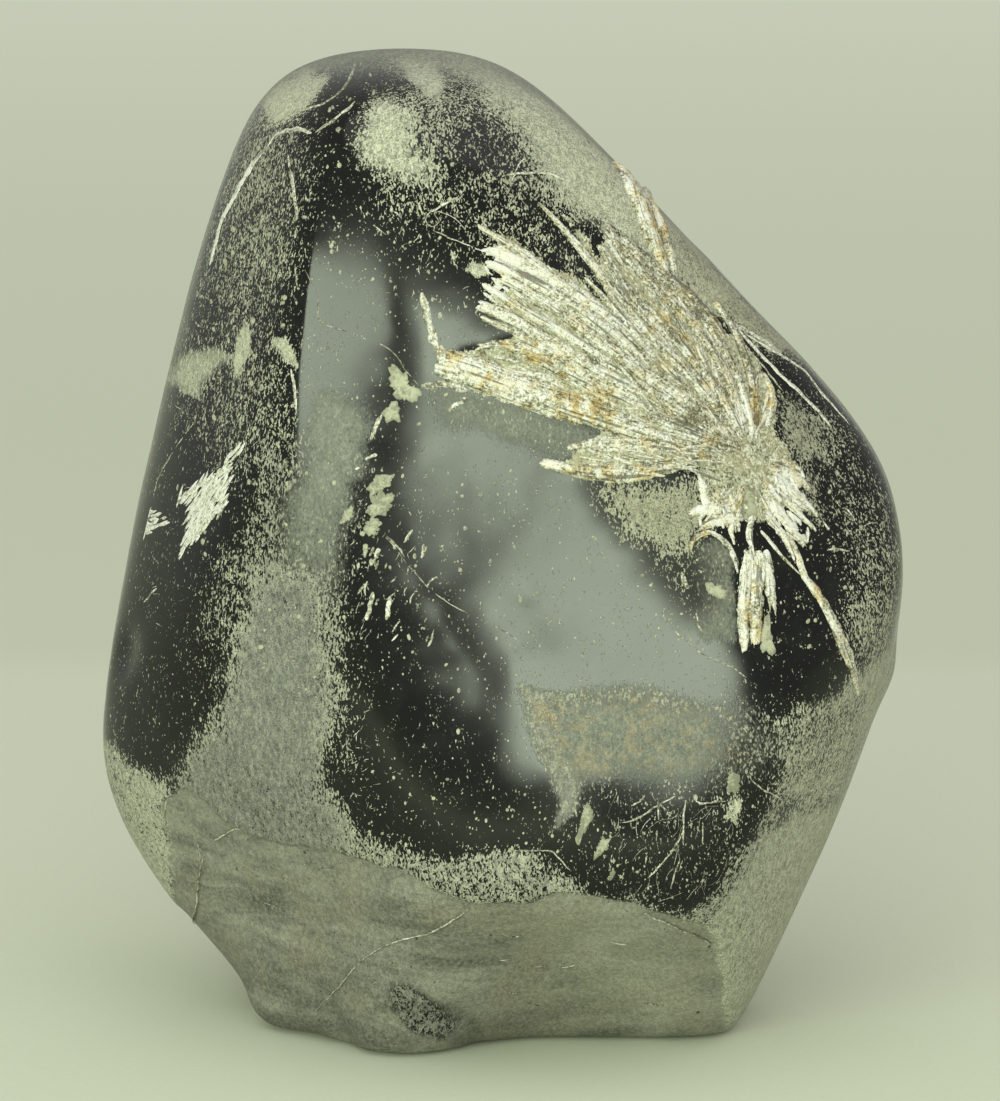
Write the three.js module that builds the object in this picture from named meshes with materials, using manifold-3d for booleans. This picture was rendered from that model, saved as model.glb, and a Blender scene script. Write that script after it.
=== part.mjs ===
// Chrysanthemum stone: one grown block of black limestone, ground and polished into a
// leaning pebble that stands on a sawn foot. A spray of pale crystal blades fans out from
// high on its right side and stands a little proud of the polish.
//
// Millimetres, +Z up, the crystals face -Y, the origin is under the middle of the stone.

import * as THREE from 'three';
import { mergeVertices } from 'three/addons/utils/BufferGeometryUtils.js';
import Module from 'manifold-3d';

const wasm = await Module();
wasm.setup();

// ---- driving dimensions ---------------------------------------------------------------

const heart = new THREE.Vector3(0, -2, 112);  // every facet is measured from here
const edgeSharpness = 20;                     // higher turns the rounded ridges crisper
const skinDetail = 15;                        // subdivisions of the starting icosahedron
const bladeSink = 2.4;                        // how deep a blade is rooted in the stone
const footDepth = 60;                         // stone sawn off below the foot
const sawWidth = 400;
const middle = new THREE.Vector3(0.65, 2.15, 0);  // centres the finished stone over the origin

// Ground facets. turn: 0 is right, 90 up, 180 left as seen from the front; lean tips the
// facet towards the front (+) or the back (-); distance is from the heart.
const facets = [
  { name: 'crown',         turn: 84,   lean: 6,   distance: 121 },
  { name: 'crown left',    turn: 111,  lean: 8,   distance: 129 },
  { name: 'left shoulder', turn: 151,  lean: 0,   distance: 108.5 },
  { name: 'left wall',     turn: 167,  lean: -4,  distance: 91 },
  { name: 'left belly',    turn: 198,  lean: 0,   distance: 114 },
  { name: 'left heel',     turn: 223,  lean: 6,   distance: 118 },
  { name: 'right slope',   turn: 43.5, lean: -4,  distance: 87 },
  { name: 'right wall',    turn: 12,   lean: 0,   distance: 97 },
  { name: 'right belly',   turn: -12,  lean: 0,   distance: 98 },
  { name: 'right heel',    turn: -26,  lean: 5,   distance: 102.5 },
  { name: 'front',         turn: 88,   lean: 80,  distance: 52 },
  { name: 'left flank',    turn: 166,  lean: 30,  distance: 75 },
  { name: 'left front',    turn: 176,  lean: 64,  distance: 62 },
  { name: 'left cheek',    turn: 208,  lean: 47,  distance: 79 },
  { name: 'crystal slope', turn: 42,   lean: 52,  distance: 70 },
  { name: 'lower band',    turn: 268,  lean: 49,  distance: 91 },
  { name: 'right flank',   turn: -20,  lean: 34,  distance: 92 },
  { name: 'brow',          turn: 100,  lean: 48,  distance: 104 },
  { name: 'back',          turn: 100,  lean: -84, distance: 56 },
  { name: 'back shoulder', turn: 148,  lean: -60, distance: 76 },
  { name: 'back belly',    turn: 318,  lean: -64, distance: 64 },
  { name: 'back left',     turn: 190,  lean: -45, distance: 84 },
  { name: 'back right',    turn: 10,   lean: -48, distance: 84 },
  { name: 'back crown',    turn: 80,   lean: -45, distance: 104 },
  { name: 'back heel',     turn: 265,  lean: -55, distance: 86 },
];

// Soft lumps and hollows on top of the facets.
const swells = [
  { name: 'toe lobe',       at: [-24, -32, 4],   spread: 19, height: 13 },
  { name: 'left toe',       at: [-56, -16, 3],   spread: 10, height: 6 },
  { name: 'band hollow',    at: [-44, -44, 34],  spread: 16, height: -3.5 },
  { name: 'foot hollow',    at: [20, -42, 30],   spread: 26, height: -3 },
  { name: 'left notch',     at: [-95, -6, 91],   spread: 6,  height: -1.6 },
  { name: 'right ledge',    at: [92, -8, 88],    spread: 8,  height: 1.6 },
  { name: 'front swell',    at: [10, -58, 78],   spread: 26, height: 2.5 },
  { name: 'front dimple',   at: [6, -58, 112],   spread: 7,  height: -0.6 },
  { name: 'brow swell',     at: [-20, -44, 200], spread: 20, height: 2 },
  { name: 'crystal mound',  at: [56, -42, 148],  spread: 30, height: 2.5 },
  { name: 'waist hollow',   at: [-22, -56, 140], spread: 14, height: -0.8 },
  { name: 'back swell',     at: [-20, 52, 80],   spread: 30, height: 4 },
  { name: 'back hollow',    at: [30, 50, 140],   spread: 22, height: -3 },
];

// Crystal blades, each from its outer tip to its root near the middle of the spray.
// path: [across, height] points on the face; width: at the widest; proud: over the polish.
const blades = [
  { name: 'bed of the upper fan', path: [[25, 196], [35, 184], [50, 165]],  width: 10,  proud: 0.8 },
  { name: 'bed of the main fan',  path: [[1, 190], [16, 181], [44, 163]],   width: 11,  proud: 1.1 },
  { name: 'bed of the left fan',  path: [[0, 181], [14, 173], [42, 158]],   width: 11,  proud: 1.1 },
  { name: 'bed under the broad',  path: [[4, 168], [20, 162], [46, 152]],   width: 10,  proud: 1.1 },
  { name: 'bed of the heart',     path: [[36, 178], [46, 166], [57, 151]],  width: 15,  proud: 1.1 },
  { name: 'bed of the shoulder',  path: [[53, 173], [56, 163], [58, 150]],  width: 12,  proud: 0.9 },
  { name: 'bed of the foot',      path: [[58, 120], [58, 132], [57, 148]],  width: 11,  proud: 0.8 },
  { name: 'edge blade',    path: [[27, 210], [32, 200.5], [37.5, 188], [46, 177]], width: 5, proud: 1.6 },
  { name: 'upper fan',     path: [[24, 199], [34, 188], [46, 175]],         width: 4,   proud: 1.5 },
  { name: 'upper fan low', path: [[22.5, 195], [32, 184], [43, 171]],       width: 4,   proud: 1.6 },
  { name: 'needle',        path: [[12, 202], [25, 184.5], [35, 172]],       width: 2.6, proud: 1.4 },
  { name: 'left spear',    path: [[-5.5, 200], [4, 194], [22.5, 180.5]],    width: 3,   proud: 1.4 },
  { name: 'main top',      path: [[-3, 194], [13, 186], [32, 172.5]],       width: 4,   proud: 2 },
  { name: 'main middle',   path: [[-2, 190], [13, 181.5], [32, 169]],       width: 4,   proud: 2.2 },
  { name: 'main low',      path: [[-4, 186.5], [9, 179], [27, 168]],        width: 3,   proud: 1.9 },
  { name: 'main foot',     path: [[-5.5, 182.5], [9, 174], [27, 163.5]],    width: 5,   proud: 2.1 },
  { name: 'stained blade', path: [[-5, 173.5], [9, 169], [29.5, 160.5]],    width: 5.5, proud: 1.9 },
  { name: 'broad blade',   path: [[-15, 170], [4, 163.5], [22.5, 158], [43, 151]], width: 9, proud: 2.4 },
  { name: 'low white',     path: [[15, 150], [27, 150.5], [45.5, 149]],     width: 4.5, proud: 1.5 },
  { name: 'low stained',   path: [[9, 146.5], [25, 144.5], [43, 146.5]],    width: 5,   proud: 1.4 },
  { name: 'inner 1',       path: [[25, 176], [37.5, 167], [54, 153]],       width: 4,   proud: 2 },
  { name: 'inner 2',       path: [[32, 182], [43.5, 170], [56, 153]],       width: 4,   proud: 1.9 },
  { name: 'inner 3',       path: [[37.5, 182], [48.5, 170], [57, 152.5]],   width: 4,   proud: 1.9 },
  { name: 'inner 4',       path: [[43.5, 181.5], [54, 167], [59, 152.5]],   width: 4,   proud: 1.7 },
  { name: 'inner 5',       path: [[54, 166], [56.5, 158], [58, 150.5]],     width: 3,   proud: 2 },
  { name: 'hooked blade',  path: [[60.5, 166], [63, 159], [61, 152]],       width: 3.4, proud: 1.9 },
  { name: 'inner low',     path: [[33, 158], [43, 155], [57, 149.5]],       width: 6,   proud: 1.8 },
  { name: 'shoulder 1',    path: [[70, 166], [62.5, 170.5], [54, 175.5]],   width: 1.8, proud: 0.8 },
  { name: 'shoulder 2',    path: [[77, 149.5], [71.5, 157], [58, 170]],     width: 2,   proud: 0.8 },
  { name: 'shoulder 3',    path: [[85, 147.5], [77, 156], [59, 169]],       width: 1.8, proud: 0.8 },
  { name: 'shoulder 4',    path: [[69.5, 156.5], [63.5, 162.5], [56.5, 170]], width: 2.6, proud: 0.9 },
  { name: 'crest',         path: [[51, 182.5], [52, 178], [54, 170]],       width: 4,   proud: 1.2 },
  { name: 'white spur',    path: [[70.5, 125.5], [65.5, 133.5], [60.5, 141.5]], width: 6, proud: 1.8 },
  { name: 'white knuckle', path: [[70.5, 141], [65.5, 143], [58.5, 146]],   width: 6,   proud: 1.6 },
  { name: 'long blade',    path: [[83, 89.5], [77, 106.5], [63, 129.5], [58, 137.5]],
    width: 3.6, proud: 1.4 },
  { name: 'short blade',   path: [[68, 120.5], [62, 128.5], [56, 137.5]],   width: 2,   proud: 1 },
  { name: 'white knobs',   path: [[46, 129.5], [45, 138], [46.5, 145]],     width: 3.4, proud: 1.2 },
  { name: 'lower web',     path: [[54.5, 128.5], [50.5, 134], [49, 142.5]], width: 5.5, proud: 1.2 },
  { name: 'down blade',    path: [[57, 104], [58, 115.5], [57.5, 139.5]],   width: 6,   proud: 1.7 },
  { name: 'down spur',     path: [[63.5, 113], [62.5, 121.5], [60, 130.5]], width: 2.4, proud: 1.3 },
];

const colours = {
  stone: 0x30332b,
};

// ---- the stone's surface --------------------------------------------------------------

function facetNormal({ turn, lean }) {
  const t = THREE.MathUtils.degToRad(turn);
  const l = THREE.MathUtils.degToRad(lean);
  return new THREE.Vector3(Math.cos(t) * Math.cos(l), -Math.sin(l), Math.sin(t) * Math.cos(l));
}

const facetPlanes = facets.map((facet) => ({
  normal: facetNormal(facet),
  distance: facet.distance,
}));

const swellAxes = swells.map((swell) => ({
  axis: new THREE.Vector3(...swell.at).sub(heart).normalize(),
  spread: swell.spread,
  height: swell.height,
}));

// Distance from the heart to the surface: a soft minimum over the facet planes, which
// rounds every ridge between two facets, with the lumps and hollows added to it.
function surfaceRadius(direction) {
  let sum = 0;
  for (const { normal, distance } of facetPlanes) {
    const reach = Math.max(0, normal.dot(direction)) / distance;
    sum += reach ** edgeSharpness;
  }
  let radius = sum ** (-1 / edgeSharpness);
  for (const { axis, spread, height } of swellAxes) {
    const along = Math.acos(THREE.MathUtils.clamp(axis.dot(direction), -1, 1)) * radius;
    radius += height * Math.exp(-((along / spread) ** 2));
  }
  return radius;
}

// Signed height of a point over the surface, along the line to the heart.
function heightOver(point) {
  const arm = point.clone().sub(heart);
  const reach = arm.length();
  return reach - surfaceRadius(arm.divideScalar(reach));
}

// The point of the front face at [across, height], found by halving the way to it.
function frontPoint(across, height) {
  const point = new THREE.Vector3(across, 0, height);
  let outside = -90;
  let inside = heart.y;
  for (let i = 0; i < 30; i += 1) {
    point.y = (outside + inside) / 2;
    if (heightOver(point) > 0) {
      outside = point.y;
    } else {
      inside = point.y;
    }
  }
  return point;
}

function surfaceNormal(point) {
  const step = 0.5;
  const slope = (axis) => {
    const ahead = point.clone();
    const behind = point.clone();
    ahead[axis] += step;
    behind[axis] -= step;
    return heightOver(ahead) - heightOver(behind);
  };
  return new THREE.Vector3(slope('x'), slope('y'), slope('z')).normalize();
}

// ---- solids ---------------------------------------------------------------------------

function toSolid(geometry) {
  const bare = geometry.clone();
  bare.deleteAttribute('normal');
  bare.deleteAttribute('uv');
  const merged = mergeVertices(bare, 1e-4);
  return new wasm.Manifold(new wasm.Mesh({
    numProp: 3,
    vertProperties: new Float32Array(merged.attributes.position.array),
    triVerts: new Uint32Array(merged.index.array),
  }));
}

function toGeometry(solid) {
  const mesh = solid.getMesh();
  const geometry = new THREE.BufferGeometry();
  geometry.setAttribute('position', new THREE.BufferAttribute(mesh.vertProperties, mesh.numProp));
  geometry.setIndex(new THREE.BufferAttribute(mesh.triVerts, 1));
  geometry.computeVertexNormals();
  return geometry;
}

// Moves every vertex of a geometry with shape(vertex).
function reshape(geometry, shape) {
  const position = geometry.attributes.position;
  const vertex = new THREE.Vector3();
  for (let i = 0; i < position.count; i += 1) {
    vertex.fromBufferAttribute(position, i);
    shape(vertex);
    position.setXYZ(i, vertex.x, vertex.y, vertex.z);
  }
  return geometry;
}

function makeStone() {
  const ball = new THREE.IcosahedronGeometry(1, skinDetail);
  return toSolid(reshape(ball, (vertex) => {
    vertex.normalize();
    vertex.multiplyScalar(surfaceRadius(vertex)).add(heart);
  }));
}

// One blade: a five-sided rod laid along its path on the face, one edge up as its ridge,
// widest a third of the way from the root and drawn in to a blunt tip.
function makeBlade({ path, width, proud }) {
  const curve = new THREE.CatmullRomCurve3(path.map(([across, height]) => frontPoint(across, height)));
  const rings = 2 * (path.length - 1);
  const rod = new THREE.CylinderGeometry(1, 1, 1, 5, rings, false, 0);
  return toSolid(reshape(rod, (vertex) => {
    const along = vertex.y + 0.5;  // 0 at the tip, 1 at the root
    const middle = curve.getPoint(along);
    const foot = frontPoint(middle.x, middle.z);
    const out = surfaceNormal(foot);
    const across = curve.getTangent(along).cross(out).normalize();
    const fullness = 0.6 + 0.4 * Math.sin(Math.PI * (0.15 + 0.7 * along));
    const rise = vertex.z > 0 ? proud * (0.6 + 0.4 * fullness) : bladeSink;
    const flare = vertex.z > 0 ? 1 : 1.9;  // wider under the surface: no undercut
    const side = vertex.x * flare * fullness * width / 2;
    const lift = vertex.z * rise;
    vertex.copy(foot).addScaledVector(across, side).addScaledVector(out, lift);
  }));
}

function sawFoot(solid) {
  const waste = new THREE.BoxGeometry(sawWidth, sawWidth, footDepth);
  waste.translate(0, 0, -footDepth / 2);
  return solid.subtract(toSolid(waste));
}

// ---- the part -------------------------------------------------------------------------

let stone = makeStone();
for (const blade of blades) {
  stone = stone.add(makeBlade(blade));
}
stone = sawFoot(stone);

const mesh = new THREE.Mesh(
  toGeometry(stone),
  new THREE.MeshStandardMaterial({ color: colours.stone, roughness: 0.22, metalness: 0 }),
);
mesh.name = 'chrysanthemum_stone';
mesh.position.copy(middle);

const group = new THREE.Group();
group.add(mesh);

export default group;
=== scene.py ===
import math
import random

import bmesh
import bpy
import numpy as np
from mathutils import Matrix, Vector, noise


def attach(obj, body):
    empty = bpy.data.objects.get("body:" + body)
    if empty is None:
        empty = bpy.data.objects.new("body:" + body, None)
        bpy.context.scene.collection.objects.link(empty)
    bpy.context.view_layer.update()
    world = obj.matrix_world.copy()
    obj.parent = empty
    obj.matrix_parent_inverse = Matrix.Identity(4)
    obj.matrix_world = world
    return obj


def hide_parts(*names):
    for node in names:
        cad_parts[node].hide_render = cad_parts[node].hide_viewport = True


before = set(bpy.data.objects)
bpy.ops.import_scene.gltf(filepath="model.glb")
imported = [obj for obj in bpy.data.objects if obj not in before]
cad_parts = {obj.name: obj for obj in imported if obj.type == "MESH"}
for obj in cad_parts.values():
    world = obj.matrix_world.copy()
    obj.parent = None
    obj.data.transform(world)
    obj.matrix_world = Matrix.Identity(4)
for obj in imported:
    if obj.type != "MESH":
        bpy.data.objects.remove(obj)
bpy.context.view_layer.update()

print("frame loaded")

# Shapes are worked out in millimetres in the stone's own grid, then moved by middle
# and turned into metres as they are put on the mesh.
stoneForm = {
    "heart": (0, -2, 112),      # every ground facet is measured from here
    "sharpness": 20,            # higher gives crisper ridges
    "footSharpness": 70,        # the sawn edge of the foot
    "middle": (0.65, 2.15, 0),  # puts the finished stone over the origin
    "facets": {                 # turn round the front, lean to the front, distance
        "crown": (84, 6, 121), "crownLeft": (111, 8, 129), "leftShoulder": (151, 0, 108.5),
        "leftWall": (167, -4, 91), "leftBelly": (198, 0, 114), "leftHeel": (223, 6, 118),
        "rightSlope": (43.5, -4, 87), "rightWall": (12, 0, 97), "rightBelly": (-12, 0, 98),
        "rightHeel": (-26, 5, 102.5), "front": (88, 80, 52), "leftFlank": (166, 30, 75),
        "leftFront": (176, 64, 62), "leftCheek": (208, 47, 79), "crystalSlope": (42, 52, 70),
        "lowerBand": (268, 49, 91), "rightFlank": (-20, 34, 92), "brow": (100, 48, 104),
        "back": (100, -84, 56), "backShoulder": (148, -60, 76), "backBelly": (318, -64, 64),
        "backLeft": (190, -45, 84), "backRight": (10, -48, 84), "backCrown": (80, -45, 104),
        "backHeel": (265, -55, 86),
    },
    "swells": {                 # place, spread, height
        "toeLobe": ((-24, -32, 4), 19, 13), "leftToe": ((-56, -16, 3), 10, 6),
        "bandHollow": ((-44, -44, 34), 16, -3.5), "footHollow": ((20, -42, 30), 26, -3),
        "leftNotch": ((-95, -6, 91), 6, -1.6), "rightLedge": ((92, -8, 88), 8, 1.6),
        "frontSwell": ((10, -58, 78), 26, 2.5), "frontDimple": ((7, -58, 118), 3, -0.05),
        "browSwell": ((-20, -44, 200), 20, 2), "crystalMound": ((56, -42, 148), 30, 2.5),
        "waistHollow": ((-22, -56, 140), 14, -0.15), "backSwell": ((-20, 52, 80), 30, 4),
        "backHollow": ((30, 50, 140), 22, -3),
    },
}

heart = np.array(stoneForm["heart"], float)
middle = np.array(stoneForm["middle"], float)
facetRows = np.array(list(stoneForm["facets"].values()), float)
turns, leans = np.radians(facetRows[:, 0]), np.radians(facetRows[:, 1])
facetAxes = np.stack([np.cos(turns) * np.cos(leans), -np.sin(leans), np.sin(turns) * np.cos(leans)], axis=1)
facetReach = facetRows[:, 2]


def unit(rows):
    return rows / np.linalg.norm(rows, axis=-1, keepdims=True)


def surfaceRadius(directions):
    reach = np.clip(directions @ facetAxes.T, 0, None) / facetReach
    radius = (reach ** stoneForm["sharpness"]).sum(axis=1) ** (-1 / stoneForm["sharpness"])
    for place, spread, height in stoneForm["swells"].values():
        axis = unit(np.array(place, float) - heart)
        along = np.arccos(np.clip(directions @ axis, -1, 1)) * radius
        radius = radius + height * np.exp(-(along / spread) ** 2)
    return radius


def heightOver(points):
    arms = points - heart
    reach = np.linalg.norm(arms, axis=1)
    return reach - surfaceRadius(arms / reach[:, None])


def onStone(points):
    directions = unit(points - heart)
    return heart + directions * surfaceRadius(directions)[:, None]


def facePoints(flat, side=-1):
    # flat holds (across, height) as seen from the front; side 1 finds the back face
    points = np.stack([flat[:, 0], np.full(len(flat), heart[1]), flat[:, 1]], axis=1)
    outside, inside = np.full(len(flat), side * 90.0), np.full(len(flat), heart[1])
    for _ in range(26):
        points[:, 1] = (outside + inside) / 2
        over = heightOver(points) > 0
        outside = np.where(over, points[:, 1], outside)
        inside = np.where(over, inside, points[:, 1])
    return points


def stoneNormals(points):
    slopes = []
    for axis in np.eye(3) * 0.5:
        slopes.append(heightOver(points + axis) - heightOver(points - axis))
    return unit(np.stack(slopes, axis=1))


def columns(*parts):
    return np.stack(np.broadcast_arrays(*parts), axis=1)


def madeMesh(name, bm):
    mesh = bpy.data.meshes.new(name)
    bm.to_mesh(mesh)
    bm.free()
    spots = np.empty(len(mesh.vertices) * 3)
    mesh.vertices.foreach_get("co", spots)
    return mesh, spots.reshape(-1, 3)


def cutCube(name, size, cuts):
    bm = bmesh.new()
    bmesh.ops.create_cube(bm, size=size)
    for axis, count in cuts:
        edges = [edge for edge in bm.edges if abs(edge.verts[0].co[axis] - edge.verts[1].co[axis]) > 0.01]
        bmesh.ops.subdivide_edges(bm, edges=edges, cuts=count, use_grid_fill=True)
    return madeMesh(name, bm)


def curved(a, b, c, d):
    # eight points of a smooth line, from b on towards c
    part = np.linspace(0, 1, 8, endpoint=False)[:, None]
    return 0.5 * (2 * b + (c - a) * part + (2 * a - 5 * b + 4 * c - d) * part ** 2
                  + (3 * b - a - 3 * c + d) * part ** 3)


def waves(rows, size, seed=0.0):
    # soft noise, -1 to 1, with lumps of about this size
    shift = Vector((seed * 3.7, seed * 1.3, seed * 7.1))
    return np.array([noise.noise(Vector(row) / size + shift) for row in rows])


def eased(values, low, high):
    share = np.clip((values - low) / (high - low), 0, 1)
    return share * share * (3 - 2 * share)


def coverage(spots, outline, feather):
    # 1 inside the outline, 0 outside, easing over the feather on both sides of the line
    corners = np.array(outline, float)
    ends = np.roll(corners, -1, axis=0)
    share = np.zeros(len(spots))
    low, high = corners.min(axis=0) - feather, corners.max(axis=0) + feather
    near = np.where(((spots > low) & (spots < high)).all(axis=1))[0]
    if not len(near):
        return share
    close = spots[near]
    gap, inside = np.full(len(close), 1e9), np.zeros(len(close), bool)
    for start, end in zip(corners, ends):
        span = end - start
        part = np.clip(((close - start) @ span) / (span @ span), 0, 1)
        gap = np.minimum(gap, np.linalg.norm(close - start - part[:, None] * span, axis=1))
        if start[1] != end[1]:
            passes = (start[1] > close[:, 1]) != (end[1] > close[:, 1])
            inside ^= passes & (close[:, 0] < span[0] * (close[:, 1] - start[1]) / span[1] + start[0])
    share[near] = eased(np.where(inside, gap, -gap), -feather, feather)
    return share


# Node helpers: each returns an output socket.

def feed(tree, socket, value):
    if isinstance(value, bpy.types.NodeSocket):
        tree.links.new(value, socket)
    else:
        socket.default_value = value


def calc(tree, operation, first, second=0.0, third=0.0, clamp=False):
    item = tree.nodes.new("ShaderNodeMath")
    item.operation, item.use_clamp = operation, clamp
    for socket, value in zip(item.inputs, (first, second, third)):
        feed(tree, socket, value)
    return item.outputs[0]


def times(tree, first, second, clamp=False):
    return calc(tree, "MULTIPLY", first, second, clamp=clamp)


def plus(tree, first, second):
    return calc(tree, "ADD", first, second)


def minus(tree, first, second):
    return calc(tree, "SUBTRACT", first, second)


def centred(tree, value, size):
    # noise turned to run on both sides of nothing
    return times(tree, minus(tree, value, 0.5), size)


def span(tree, value, low, high, start=0.0, end=1.0, soft=True):
    item = tree.nodes.new("ShaderNodeMapRange")
    item.interpolation_type = "SMOOTHSTEP" if soft else "LINEAR"
    for socket, setting in zip(item.inputs, (value, low, high, start, end)):
        feed(tree, socket, setting)
    return item.outputs[0]


def tinted(tree, factor, first, second, kind="MIX"):
    item = tree.nodes.new("ShaderNodeMix")
    item.data_type, item.blend_type, item.clamp_factor = "RGBA", kind, True
    for index, value in ((0, factor), (6, first), (7, second)):
        feed(tree, item.inputs[index], (*value, 1) if isinstance(value, tuple) else value)
    return item.outputs[2]


def blended(tree, factor, first, second):
    item = tree.nodes.new("ShaderNodeMix")
    item.data_type = "FLOAT"
    for index, value in ((0, factor), (2, first), (3, second)):
        feed(tree, item.inputs[index], value)
    return item.outputs[0]


def cloud(tree, vector, scale, detail=2.0, roughness=0.5, distortion=0.0):
    item = tree.nodes.new("ShaderNodeTexNoise")
    for name, value in (("Vector", vector), ("Scale", scale), ("Detail", detail),
                        ("Roughness", roughness), ("Distortion", distortion)):
        feed(tree, item.inputs[name], value)
    return item.outputs[0]


def cells(tree, vector, scale, randomness=1.0):
    item = tree.nodes.new("ShaderNodeTexVoronoi")
    for name, value in (("Vector", vector), ("Scale", scale), ("Randomness", randomness)):
        feed(tree, item.inputs[name], value)
    return item.outputs["Distance"], item.outputs["Color"]


def placed(tree, vector, shift=(0, 0, 0), turn=(0, 0, 0), scale=(1, 1, 1)):
    item = tree.nodes.new("ShaderNodeMapping")
    feed(tree, item.inputs["Vector"], vector)
    item.inputs["Location"].default_value = shift
    item.inputs["Rotation"].default_value = turn
    item.inputs["Scale"].default_value = scale
    return item.outputs[0]


def marked(tree, name, output="Fac"):
    item = tree.nodes.new("ShaderNodeAttribute")
    item.attribute_name = name
    return item.outputs[output]


def bumped(tree, height, distance, strength=1.0, under=None):
    item = tree.nodes.new("ShaderNodeBump")
    item.inputs["Distance"].default_value = distance
    item.inputs["Strength"].default_value = strength
    feed(tree, item.inputs["Height"], height)
    if under is not None:
        feed(tree, item.inputs["Normal"], under)
    return item.outputs[0]


def freshMaterial(name):
    material = bpy.data.materials.new(name)
    material.use_nodes = True
    tree = material.node_tree
    return material, tree, tree.nodes["Principled BSDF"]


def keepMarks(mesh, marks):
    for name, values in marks.items():
        if values.ndim == 2:
            layer = mesh.attributes.new(name, "FLOAT_VECTOR", "POINT")
            layer.data.foreach_set("vector", values.astype(np.float32).ravel())
        else:
            layer = mesh.attributes.new(name, "FLOAT", "POINT")
            layer.data.foreach_set("value", values.astype(np.float32))


def showPiece(name, mesh, material):
    mesh.materials.clear()
    mesh.materials.append(material)
    mesh.shade_smooth()
    piece = bpy.data.objects.new(name, mesh)
    bpy.context.scene.collection.objects.link(piece)
    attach(piece, "root")
    return piece


# The polished block. Outlines are (across, height) on the front face.
bodySettings = {
    "cuts": (149, 49, 179),        # across, deep, high
    "reach": (95, 60, 118),        # box that the directions are taken from
    "ripple": 0.1, "rippleSize": 17,
    "skinDrop": 0.1,               # the matte skin lies a little under the polish
    "ledgeDrop": 0.8,              # the lower band steps back under the polished face
    "bedRise": 0.1,
    "outlineDrift": 1.3, "driftSize": 6,
    "windows": ((46, 1), (19, 0.45), (8, 0.2)), "patchiness": ((14, 1), (5, 0.6)),   # size, weight
    "backBandTop": 40, "backBandWander": (38, 7),                                    # size, height
    "backPale": (0.55, 26, 0.25, 0.9), "backRust": (0.6, 22, 0.45, 1.1),             # strength, size, from, to
}

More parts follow.
